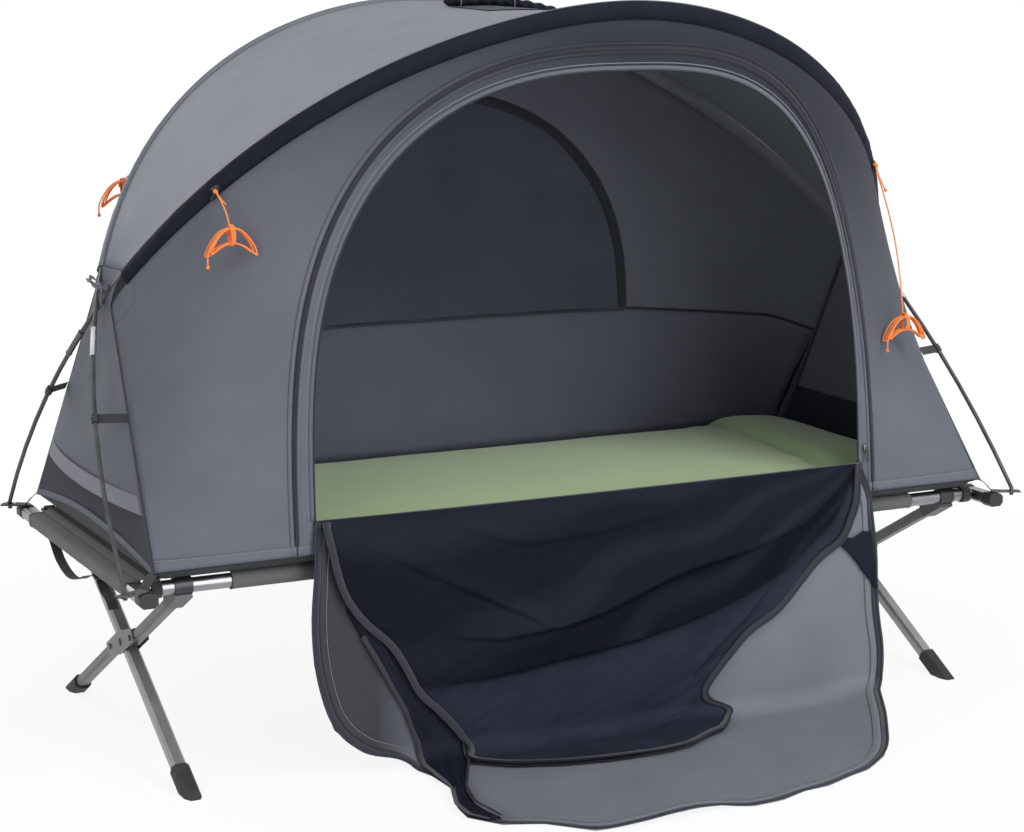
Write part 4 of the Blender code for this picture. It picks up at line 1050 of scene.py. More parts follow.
@dataclass
class Guyline:
    """An orange cord that hangs from its tie on the sleeve and is wound into a hank."""

    front: bool
    side: int
    start: Triple
    top_y: float
    strand: float
    diameter: float = 0.003
    half_width: float = 0.050
    half_height: float = 0.014
    droop: float = 0.038
    swell_share: float = 0.20
    swell_turns: float = 0.38
    pitch: float = 0.0037
    loops: int = 5
    points_per_loop: int = 16
    tail: float = 0.018
    strand_points: int = 8
    bow_share: float = 0.20
    knot_size: float = 1.15
    tie_size: float = 1.6
    loop_width: float = 0.018
    loop_out: float = 0.0065
    loop_deep: float = 0.0085
    loop_high: float = 0.0095
    wrap_turns: int = 3
    wrap_reach: float = 0.0045
    end_reaches: tuple[float, float] = (0.028, 0.055)

    @property
    def outward(self) -> int:
        """Return the direction away from the tent along Y."""
        return -1 if self.front else 1

    @property
    def label(self) -> str:
        """Return the part of its pieces' names that tells the four cords apart."""
        return f"{'front' if self.front else 'back'}_{'foot_end' if self.side < 0 else 'pillow_end'}"

    def route(self) -> list[Vector]:
        """Return the cord's centre line from its tie, round the hank's loops, to its knot."""
        start = Vector((self.side * self.start[0], CENTRE_Y + self.start[1], self.start[2]))
        top = Vector((start.x, CENTRE_Y + self.top_y, start.z - self.strand))
        centre_z = top.z - self.half_height
        points = []
        for i in range(self.strand_points):
            share = i / self.strand_points
            bow = self.bow_share * sin(pi * share) * (top.y - start.y)
            points.append(start.lerp(top, share) + Vector((0.0, bow, 0.0)))
        for i in range(self.loops * self.points_per_loop + self.points_per_loop // 4 + 1):
            turns = i / self.points_per_loop
            angle = pi / 2 + 2 * pi * turns
            swell = 1 - self.swell_share * (1 - cos(self.swell_turns * 2 * pi * turns)) / 2
            x = start.x + self.half_width * swell * cos(angle)
            z = centre_z + self.half_height * sin(angle) - self.droop * swell * cos(angle) ** 2
            points.append(Vector((x, top.y + self.outward * self.pitch * turns, z)))
        points.append(points[-1] - Vector((0.0, 0.0, self.tail)))
        return points

    def build(self) -> None:
        """Make the cord, its knots, the wrap round the hank's waist and the webbing loop of the tie."""
        points = self.route()
        cord = self.declare(f"cord_{self.label}", points, "coiled", f"guyline_{self.label}")
        LOG.info("%s is tied at %s", cord.name, self.label)
        self.make_tie(points[0])
        self.make_wrap(points[self.strand_points])
        if self.front:
            self.make_loose_end(points[0])

    def declare(self, name: str, points: Sequence[Vector], lay: str, *nodes: str) -> Object:
        """Make a cord with a knot at its end.

        Args:
            name: the cord's name.
            points: its centre line.
            lay: how it lies; not used.
            nodes: CAD nodes that it replaces.

        Returns:
            The cord.
        """
        path = smooth_path(points, 2)
        length = path_length(path)
        cord = tube_piece(name, path, self.diameter / 2, sides=3)
        settle(cord, ORANGE_CORD, *nodes)
        knot = self.knot(f"{name}_knot", points[-1], self.knot_size)
        return cord

    def knot(self, name: str, place: Vector, size: float) -> Object:
        """Make a round knot, its radius given in cord diameters."""
        bm = bmesh.new()
        bmesh.ops.create_uvsphere(bm, u_segments=20, v_segments=12, radius=self.diameter * size)
        for vert in bm.verts:
            vert.co *= 1 + 0.14 * sin(4 * atan2(vert.co.y, vert.co.x) + 900 * vert.co.z)
        bmesh.ops.translate(bm, verts=bm.verts, vec=place)
        return settle(from_bmesh(name, bm), ORANGE_CORD)

    def make_tie(self, start: Vector) -> None:
        """Knot the cord to a short webbing loop that is sewn to the sleeve."""
        self.knot(f"tie_knot_{self.label}", start, self.tie_size)
        inward = Vector((0.0, -self.outward, 0.0))
        slant = Vector((self.side * 0.72, 0.0, -0.69))
        rise = Vector((0, 0, self.loop_high))
        path = [
            start + inward * (self.loop_out + self.loop_deep * cos(a)) + rise * sin(a)
            for a in circle(20, 1)
        ]
        settle(strap_piece(f"tie_loop_{self.label}", path, slant, self.loop_width, CLOTH_THICKNESS), TAPE)

    def make_wrap(self, top: Vector) -> None:
        """Wrap the hank's waist with turns of its own cord."""
        depth, steps = self.pitch * self.loops, 16
        middle = top + Vector((0.0, self.outward * depth / 2, -self.half_height))
        path = []
        for i, angle in enumerate(circle(steps, (self.wrap_turns - 1) * steps + 1)):
            across = self.wrap_reach * (i / (self.wrap_turns * steps / 2) - 1)
            y = (depth / 2 + 0.0040) * cos(angle)
            z = (self.half_height + 0.0045) * sin(angle)
            path.append(middle + Vector((across, y, z)))
        settle(tube_piece(f"hank_wrap_{self.label}", smooth_path(path, 2), self.diameter / 2), ORANGE_CORD)

    def make_loose_end(self, start: Vector) -> None:
        """Let the cord's short end hang from the knot."""
        reach = self.end_reaches[self.side > 0]
        path = []
        for share in (i / 8 for i in range(9)):
            x = 0.010 * share + 0.010 * share**2
            path.append(start + Vector((x, self.outward * (0.0040 + 0.010 * share), -reach * share)))
        self.declare(f"cord_end_{self.label}", path, "hanging")


@dataclass
class LongWall:
    """A long wall of the tent with what is sewn on it."""

    name: str
    shape: WallShape
    node: str
    cloth: Cloth = WALL_CLOTH
    columns: int = 130
    rows: int = 46
    thickness: float = CLOTH_THICKNESS
    hem_rise: float = 0.011
    hem_width: float = 0.020
    hem_inset: float = 0.004
    surface: Surface = field(init=False)

    @property
    def outward(self) -> Vector:
        """Return the direction out of the tent."""
        return Vector((0.0, -1.0 if self.shape.arch.front else 1.0, 0.0))

    def sheet(self) -> Object:
        """Make the plain wall and keep its surface."""
        wall = sheet_piece(self.name, self.columns, self.rows, self.shape.point, (2.3, 0.98))
        self.surface = Surface(wall)
        return thicken(wall, self.thickness)

    def on(self, x: float, z: float, lift: float, inside: bool = False) -> Vector:
        """Return the point over the wall at this place along the bed and this height."""
        start = Vector((x, CENTRE_Y, z))
        if not inside:
            start += self.outward * 2.0
        direction = self.outward if inside else -self.outward
        spot, normal = self.surface.hit(start, direction)
        return spot + normal * (lift + self.thickness / 2)

    def band(
        self,
        name: str,
        outer: Dome,
        inner: Dome,
        finish: Finish,
        height: float,
        inside: bool = False,
        gather: float = 0.0,
    ) -> Object:
        """Lay a strip between two outlines on the wall.

        Args:
            name: the piece's name.
            outer: the outline of its outer edge.
            inner: the outline of its inner edge.
            finish: its finish.
            height: how far its middle stands off the wall.
            inside: whether it lies on the inner face.
            gather: how deep it puckers along its length.

        Returns:
            The strip.
        """
        count = 200
        outer_ring, inner_ring = outer.even(count), inner.even(count)

        def place(u: float, v: float) -> Vector:
            index = round((u + 1) / 2 * count)
            (ax, az), (bx, bz) = inner_ring[index], outer_ring[index]
            crown = height * (0.35 + 0.65 * sin(pi * v))
            pucker = gather * sin(index * 1.9) * sin(pi * v)
            return self.on(ax + (bx - ax) * v, az + (bz - az) * v, crown + pucker, inside)

        width = outer.half_width - inner.half_width
        strip = sheet_piece(name, count, 6, place, (outer.length(), width), TAPE_THICKNESS)
        return settle(strip, finish)

    def line(
        self,
        name: str,
        spots: Line,
        width: float,
        finish: Finish,
        height: float,
        inside: bool = False,
    ) -> Object:
        """Lay a straight strip through places on the wall, given as x and z.

        Args:
            name: the piece's name.
            spots: the places.
            width: its width.
            finish: its finish.
            height: how far its middle stands off the wall.
            inside: whether it lies on the inner face.

        Returns:
            The strip.
        """
        steps = 150
        lengths = [hypot(b[0] - a[0], b[1] - a[1]) for a, b in zip(spots, spots[1:])]

        def place(u: float, v: float) -> Vector:
            want = (u + 1) / 2 * sum(lengths)
            index = 0
            while index < len(lengths) - 1 and want > lengths[index]:
                want -= lengths[index]
                index += 1
            (ax, az), (bx, bz) = spots[index], spots[index + 1]
            share = min(1.0, want / lengths[index])
            z = az + (bz - az) * share + width * (v - 0.5)
            crown = height * (0.3 + 0.7 * sin(pi * v))
            return self.on(ax + (bx - ax) * share, z, crown, inside)

        strip = sheet_piece(name, steps, 4, place, (sum(lengths), width), TAPE_THICKNESS)
        return settle(strip, finish)

    def hem_line(self, rise: float = 0.0) -> list[tuple[float, float]]:
        """Return the hem's middle line, or one that lies higher."""
        low, reach = self.shape.hem_z + self.hem_rise, self.shape.base_x - self.hem_inset
        return [(-reach, low + rise), (reach, low + rise)]

    def corner_patch(self, name: str, side: int, low: float, high: float) -> None:
        """Sew a patch over the wall's upper corner, between two shares of its rise."""

        def place(u: float, v: float) -> Vector:
            spot = self.shape.point(side * (0.957 + 0.042 * (u + 1) / 2), low + (high - low) * v)
            return spot + self.outward * (0.0022 + 0.0008 * sin(pi * v))

        settle(sheet_piece(name, 14, 10, place, (0.045, 0.045), 0.0009), self.cloth)


@dataclass
class FrontWall(LongWall):
    """The wall with the arched door opening."""

    opening: Dome = Dome(0.612, 0.504, 1.334, 2.7)
    seam: Dome = Dome(0.650, 0.442, 1.375, 2.7)

    def build(self) -> None:
        """Make the wall, its opening, both zips and its hem."""
        wall = self.sheet()
        apply_modifiers(wall)
        cut_out(wall, self.opening, CENTRE_Y - 0.9, CENTRE_Y)
        settle(wall, self.cloth, self.node)
        self.dress_opening()
        self.dress_hem()
        for end, side in ENDS.items():
            self.corner_patch(f"front_corner_patch_{end}", side, 0.915, 0.998)

    def dress_opening(self) -> None:
        """Lay the zips, their tapes and the stitch lines round the opening."""
        seam, edge = self.seam, self.opening
        rows = (
            ("door_zip_tape", seam, 0.0044, -0.0044, BINDING, 0.0012),
            ("door_zip_coil", seam, 0.0020, -0.0020, ZIP_COIL, 0.0030),
            ("door_zip_welt", seam, 0.0125, 0.0050, self.cloth, 0.0026),
            ("door_zip_flap", seam, -0.0050, -0.0110, self.cloth, 0.0022),
            ("door_inner_stitch", edge, 0.0145, 0.0130, CASING, 0.0009),
            ("door_edge_tape", edge, 0.0085, 0.0005, EDGE_TAPE, 0.0022),
            ("door_edge_coil", edge, 0.0016, -0.0018, ZIP_COIL, 0.0032),
        )
        for name, dome, outer, inner, finish, height in rows:
            self.band(name, dome.grown(outer), dome.grown(inner), finish, height)
        self.band("door_inner_tape", edge.grown(0.012), edge.grown(0.0005), BINDING, 0.0016, inside=True)

    def dress_hem(self) -> None:
        """Lay the hem along the wall's foot and the sill's zip."""
        self.line("front_hem", self.hem_line(), self.hem_width, self.cloth, 0.0020)
        self.line("front_hem_stitch", self.hem_line(0.006), 0.0014, CASING, 0.0026)
        sill, half = self.opening.base_z - 0.005, self.opening.half_width + 0.004
        self.line("sill_tape", [(-half, sill), (half, sill)], 0.010, BINDING, 0.0018)


@dataclass
class RearWall(LongWall):
    """The wall with the half-moon window."""

    window: Dome = Dome(0.478, 0.745, 1.245, 2.4)

    def build(self) -> None:
        """Make the wall, its window and its lower panel."""
        wall = self.sheet()
        apply_modifiers(wall)
        cut_out(wall, self.window, CENTRE_Y, CENTRE_Y + 0.9)
        settle(wall, self.cloth, self.node)
        self.make_window()
        self.make_lower_panel()
        self.line("rear_hem", self.hem_line(), self.hem_width, self.cloth, 0.0020)
        for end, side in ENDS.items():
            self.corner_patch(f"rear_corner_patch_{end}", side, 0.93, 1.055)

    def pane(self, name: str, finish: Finish, lift: float, inside: bool) -> Object:
        """Make a sheet that fills the window, behind or before the wall."""
        window, lap = self.window, 0.01
        half, low, high = window.half_width + lap, window.base_z - lap, window.top_z + lap

        def place(u: float, v: float) -> Vector:
            x, z = u * half, low + (high - low) * v
            fold = 0.0022 * grain(Vector((x, 4.0, z)), 9.0)
            return self.on(x, z, lift + fold, inside)

        pane = sheet_piece(name, 72, 40, place, (2 * half, high - low), NET_THICKNESS)
        apply_modifiers(pane)
        grown = Dome(window.half_width + 0.006, low + 0.004, window.top_z + 0.006, window.power)
        cut_out(pane, grown, CENTRE_Y, CENTRE_Y + 0.9, keep=True)
        return settle(pane, finish)

    def make_window(self) -> None:
        """Make the netting inside, the closed cover outside, and their bindings."""
        for name, finish, lift, inside in (
            ("rear_window_net", WINDOW_NET, 0.0035, True), ("rear_window_cover", self.cloth, 0.0030, False)
        ):
            pane = self.pane(name, finish, lift, inside)
        wide, slim = self.window.grown(0.012), self.window.grown(-0.012)
        self.band("rear_window_binding_inside", wide, slim, BINDING, 0.0075, True, 0.0016)
        self.band("rear_window_binding_outside", wide, slim, BINDING, 0.0050)
        self.band("rear_window_coil", self.window.grown(0.002), self.window.grown(-0.003), ZIP_COIL, 0.0085)

    def seam_spots(self) -> list[tuple[float, float]]:
        """Return the seam over the lower panel, from one end to the other."""
        right = [(0.478, 0.745), (0.64, 0.732), (0.824, 0.719), (0.867, 0.704), (0.905, 0.687)]
        return [(-x, z) for x, z in reversed(right)] + right

    def make_lower_panel(self) -> None:
        """Line the wall's inside below the seam, and lay the seam's tapes."""
        spots = self.seam_spots()
        reach, last_z = spots[-1]

        def place(u: float, v: float) -> Vector:
            x = u * reach
            z = self.shape.hem_z + 0.004
            top = height_on(spots, x) or last_z
            return self.on(x, z + (top - z) * v, 0.0018, True)

        panel = sheet_piece("rear_lower_panel", 100, 16, place, (1.81, 0.30), TAPE_THICKNESS)
        settle(panel, INNER_CLOTH)
        self.line("rear_seam_inside", spots, 0.007, BINDING, 0.0045, True)
        self.line("rear_seam_outside", spots, 0.009, self.cloth, 0.0020)


@dataclass
class PoleSleeve:
    """A sewn sleeve round an arch pole."""

    name: str
    shape: WallShape
    node: str
    finish: Cloth
    start: float = 0.515
    depth: float = 0.033
    thickness: float = 0.014
    above: float = 0.007
    gather: float = 0.0018
    length: float = 2.25
    seam_radius: float = 0.0016
    edge_radius: float = 0.0011

    def frame_at(self, q: float) -> tuple[Vector, Vector, Vector]:
        """Return the pole point, the direction down the wall and across the sleeve."""
        sleeve = WallShape(self.shape.arch, self.start)
        return sleeve.frame_at(q)

    def place(self, u: float, v: float) -> Vector:
        """Return the sleeve's surface at u along it and v round it."""
        place, down, across = self.frame_at(u)
        angle = 2 * pi * v
        deep = cos(angle)
        drop = self.depth / 2 - self.above + self.depth / 2 * deep
        round_share = 1 - 0.55 * max(0.0, deep) ** 1.5
        side = powered(sin(angle), 0.8) * self.thickness / 2 * round_share
        arc = 24.0 * u
        fold = grain(Vector((arc, 1.0 + 0.8 * cos(angle), 0.8 * sin(angle))), 1.6)
        pull = grain(Vector((arc * 2.6 + 1.2 * deep, 5.0, side * 60)), 1.5)
        slant = sin(arc * 3.1 + 2.2 * deep + 2.0 * fold) * max(0.0, fold + 0.25)
        puff = self.gather * (0.7 * fold + 0.6 * pull + 0.8 * slant) * (1 - max(0.0, deep) ** 4)
        return place + down * drop + across * (side + copysign(puff, side))

    def build(self) -> None:
        """Make the sleeve, its seam and its edge piping."""
        sleeve = sheet_piece(self.name, 260, 28, self.place, (self.length, 0.11), 0.0009, -1.0, weld=True)
        settle(sleeve, self.finish, self.node)
        frames = [self.frame_at(-1 + 2 * i / 160) for i in range(161)]
        seam = [place + down * (self.depth - self.above + 0.0012) for place, down, _ in frames]
        settle(tube_piece(f"{self.name}_seam", seam, self.seam_radius), self.finish)
        edge = [place - down * (self.above + 0.0004) for place, down, _ in frames]
        settle(tube_piece(f"{self.name}_edge", edge, self.edge_radius), ROOF_CLOTH)


@dataclass
class Roof:
    """The roof between the two sleeves, with a rolled cover on its crown."""

    front: WallShape
    rear: WallShape
    start: float = 0.515
    sag: float = 0.014
    sleeve_reach: float = 0.007
    cover_span: tuple[float, float] = (-0.02, 0.30)
    cover_y: float = 0.30
    roll_lift: float = 0.011
    roll_radius: float = 0.012
    loop_half: tuple[float, float] = (0.021, 0.0145)
    loop_wire: float = 0.0016
    toggle_radius: float = 0.0034
    net_gap: float = 0.018
    net_width: float = 0.20

    def edge(self, shape: WallShape, q: float) -> Vector:
        """Return where the roof meets a sleeve."""
        place, down, across = WallShape(shape.arch, self.start).frame_at(q)
        along = down.cross(across)
        toward = Vector((0.0, 1.0 if shape.arch.front else -1.0, 0.0))
        toward = (toward - along * toward.dot(along)).normalized()
        above = self.sleeve_reach / max(abs(toward.dot(down)), 0.001)
        beside = self.sleeve_reach / max(abs(toward.dot(across)), 0.001)
        return place + toward * (min(above, beside) - 0.0005)

    def place(self, u: float, v: float) -> Vector:
        """Return the roof at u along the arch and v from the front sleeve to the rear one."""
        low, high = self.edge(self.front, u), self.edge(self.rear, u)
        spot = low.lerp(high, v)
        bow = sin(pi * v)
        crown = exp(-((u / 0.16) ** 2))
        inward = Vector((0.0, CENTRE_Y, 0.72)) - Vector((0.0, spot.y, spot.z))
        inward.x = -spot.x * 0.8
        inward.normalize()
        depth = self.sag * bow * (0.45 + 0.9 * crown)
        fold = grain(Vector((spot.x * 1.2, spot.y * 0.5, spot.z * 1.2)), 5.0)
        pull = ridge(v * 2.4 + u * 7.0 + 0.3 * fold) * crown * bow
        return spot + inward * (depth + 0.0030 * fold * bow + 0.0022 * pull)

    def build(self) -> None:
        """Make the roof and the rolled cover."""
        roof = sheet_piece("roof_cloth", 150, 48, self.place, (2.2, 1.02))
        surface = Surface(roof)
        thicken(roof, CLOTH_THICKNESS)
        settle(roof, ROOF_CLOTH, "roof")
        self.make_cover(surface)

    def make_cover(self, surface: Surface) -> None:
        """Lay the rolled dark cover on the crown with its toggles and its netting strip."""
        (low, high), y = self.cover_span, CENTRE_Y + self.cover_y

        def top(x: float, place_y: float, lift: float) -> Vector:
            spot, normal = surface.hit(Vector((x, place_y, 2.0)), DOWN)
            return spot + normal * lift

        def roll(u: float, v: float) -> Vector:
            x = low + (high - low) * (u + 1) / 2
            angle = 2 * pi * v
            gather = 0.0016 * sin(x * 210 + 2 * sin(angle))
            gather += 0.001 * grain(Vector((x, angle, 0)), 8.0)
            radius = (self.roll_radius + gather) * min(1.0, 0.35 + 6 * (1 - abs(u)))
            middle = top(x, y, self.roll_lift)
            return middle + Vector((0, radius * 1.5 * cos(angle), radius * sin(angle)))

        cover = sheet_piece("roof_vent_roll", 90, 20, roll, (high - low, 0.08), 0.001, -1.0, weld=True)
        settle(cover, DARK_CLOTH)

        def strip(u: float, v: float) -> Vector:
            x = low + (high - low) * (u + 1) / 2
            return top(x, y - self.net_gap - self.net_width * v, 0.0022)

        net = sheet_piece("roof_vent_net", 40, 24, strip, (high - low, self.net_width), 0.0007)
        settle(net, VENT_NET)
        for index, x in enumerate((low + 0.03, (low + high) / 2, high - 0.03)):
            foot, (wide, high_half) = top(x, y, 0.0), self.loop_half
            loop = [
                foot + Vector((0, wide * cos(a), self.roll_lift + high_half * sin(a)))
                for a in circle(24)
            ]
            band = tube_piece(f"roof_vent_loop_{index + 1}", loop, self.loop_wire, closed=True)
            settle(band, GREY_TAPE)
            bead = [foot + Vector((step, -0.012, 0.025)) for step in (-0.012, -0.010, 0.0, 0.010, 0.012)]
            toggle = tube_piece(f"roof_vent_toggle_{index + 1}", bead, self.toggle_radius)
            settle(toggle, BLACK_PLASTIC)


@dataclass
class EndWall:
    """The triangular end wall: netting at its foot, and a hood that stands proud of it."""

    end: str
    band_z: float = 0.530
    fold_z: float = 0.561
    proud: float = 0.024
    hood_top: float = 0.72
    hem_rise: float = 0.026
    width: float = 0.776
    band_share: float = 0.06

    @property
    def side(self) -> int:
        """Return the end's side of the bed."""
        return ENDS[self.end]

    def spot(self, across: float, share: float, lift: float) -> Vector:
        """Return a place on the wall, from the front edge (-1) to the rear edge (1) and up it."""
        near = FRONT_SHAPE.point(self.side, share)
        far = REAR_SHAPE.point(self.side, share)
        spot = near.lerp(far, (across + 1) / 2)
        fold = 0.0012 * grain(Vector((spot.y * 1.6, 3.0 + self.side, spot.z * 1.1)), 7.0) * (1 - across**2)
        spot.x = self.side * (abs(spot.x) + 0.0014 + lift * (1 - across**2) + fold)
        return spot

    def share_at(self, z: float) -> float:
        """Return the share of the wall's rise at a height."""
        foot = FRONT_SHAPE.point(self.side, 0.0).z
        head = FRONT_SHAPE.point(self.side, 1.0).z
        return (z - foot) / (head - foot)

    def hem_share(self, across: float) -> float:
        """Return how far up the wall its curved hem is."""
        return self.share_at(0.4405 + self.hem_rise * (1 - across**2))

    def build(self) -> None:
        """Make the hood, its rolled band, the netting and the hem."""
        band, fold, top = self.share_at(self.band_z), self.share_at(self.fold_z), self.hood_top

        def hood(u: float, v: float) -> Vector:
            if v < self.band_share:
                return self.spot(u, band + 0.003, self.proud * (v / self.band_share))
            share = band + (1 - band) * (v - self.band_share) / (1 - self.band_share)
            fall = 1 - ease((share - fold) / (top - fold))
            return self.spot(u, share, self.proud * fall)

        cloth = sheet_piece(f"{self.end}_hood", 44, 60, hood, (self.width, 0.40), CLOTH_THICKNESS)
        settle(cloth, WALL_CLOTH, f"{self.end}_wall")

        def netting(u: float, v: float) -> Vector:
            low = self.hem_share(u)
            sag = 0.003 * sin(pi * v)
            return self.spot(u, low + (band + 0.004 - low) * v, -sag)

        net = sheet_piece(f"{self.end}_net", 60, 12, netting, (self.width, 0.09), NET_THICKNESS)
        settle(net, VENT_NET)
        self.roll()
        self.hem()
        self.gusset()
        self.seams()

    def seams(self) -> None:
        """Bind the wall's two upright seams on the inside."""
        for face, across in FACES.items():
            path = [self.spot(across, i / 24, 0.0) for i in range(25)]
            inward = Vector((-self.side * 0.0030, -across * 0.0026, 0.0))
            path = [spot + inward for spot in path]
            settle(tube_piece(f"{self.end}_{face}_seam", path, 0.0044), BINDING)

    def gusset(self) -> None:
        """Close the corner between the wall's head and the roof's end with a stitched panel."""
        roof = Roof(FRONT_SHAPE, REAR_SHAPE)

        def place(u: float, v: float) -> Vector:
            low, high = self.spot(u, 0.985, 0.0), roof.place(self.side, (u + 1) / 2)
            spot = low.lerp(high, v)
            spot.x += self.side * (0.0022 + 0.004 * sin(pi * v))
            return spot

        panel = sheet_piece(f"{self.end}_gusset", 20, 14, place, (0.10, 0.06), 0.0010)
        settle(panel, WALL_CLOTH)

    def roll(self) -> None:
        """Make the rolled band along the hood's lower edge."""

        def place(u: float, v: float) -> Vector:
            angle = 2 * pi * v
            high = 0.016 * sin(angle)
            deep = 0.0032 * cos(angle) + 0.0008 * sin(u * 60)
            share = self.share_at(self.band_z + 0.0155 + high)
            return self.spot(u, share, self.proud + 0.0046 + deep)

        settle(sheet_piece(f"{self.end}_hood_band", 60, 16, place, (self.width, 0.07), weld=True), CASING)

    def hem(self) -> None:
        """Make the hem's tape and the floor's end that shows below it."""

        def tape(u: float, v: float) -> Vector:
            return self.spot(u, self.hem_share(u) - 0.012 + 0.030 * v, 0.0016 + 0.001 * sin(pi * v))

        def skirt(u: float, v: float) -> Vector:
            return self.spot(u, self.hem_share(u) * v * 0.98, -0.001)

        settle(sheet_piece(f"{self.end}_hem", 60, 4, tape, (self.width, 0.014), TAPE_THICKNESS), WALL_CLOTH)
        panel = sheet_piece(f"{self.end}_skirt", 60, 6, skirt, (self.width, 0.03), TAPE_THICKNESS)
        settle(panel, FLOOR_CLOTH)


@dataclass
class TentFloor:
    """The tent's floor: a shallow tray on the bed."""

    half_length: float = 0.931
    half_width: float = 0.389
    low_z: float = 0.4188
    rim_z: float = 0.4385
    slope: float = 0.034
    flat_share: float = 0.92

    def edge(self, value: float, half: float) -> tuple[float, float]:
        """Return the place along one direction and the share of the rise there."""
        size = abs(value)
        low = half - self.slope
        if size <= self.flat_share:
            return value / self.flat_share * low, 0.0
        rise = (size - self.flat_share) / (1 - self.flat_share)
        return copysign(low + self.slope * rise, value), rise

    def place(self, u: float, v: float) -> Vector:
        """Return the floor's surface."""
        x, rise_x = self.edge(u, self.half_length)
        y, rise_y = self.edge(2 * v - 1, self.half_width)
        rise = max(rise_x, rise_y)
        fold = 0.0006 * (1 - rise) * grain(Vector((x, y, 0.4)), 6.0)
        return Vector((x, CENTRE_Y + y, self.low_z + (self.rim_z - self.low_z) * ease(rise) + abs(fold)))

    def build(self) -> None:
        """Make the floor."""
        floor = sheet_piece("tent_floor_cloth", 125, 75, self.place, (1.88, 0.80), 0.0014)
        settle(floor, FLOOR_CLOTH, "tent_floor")


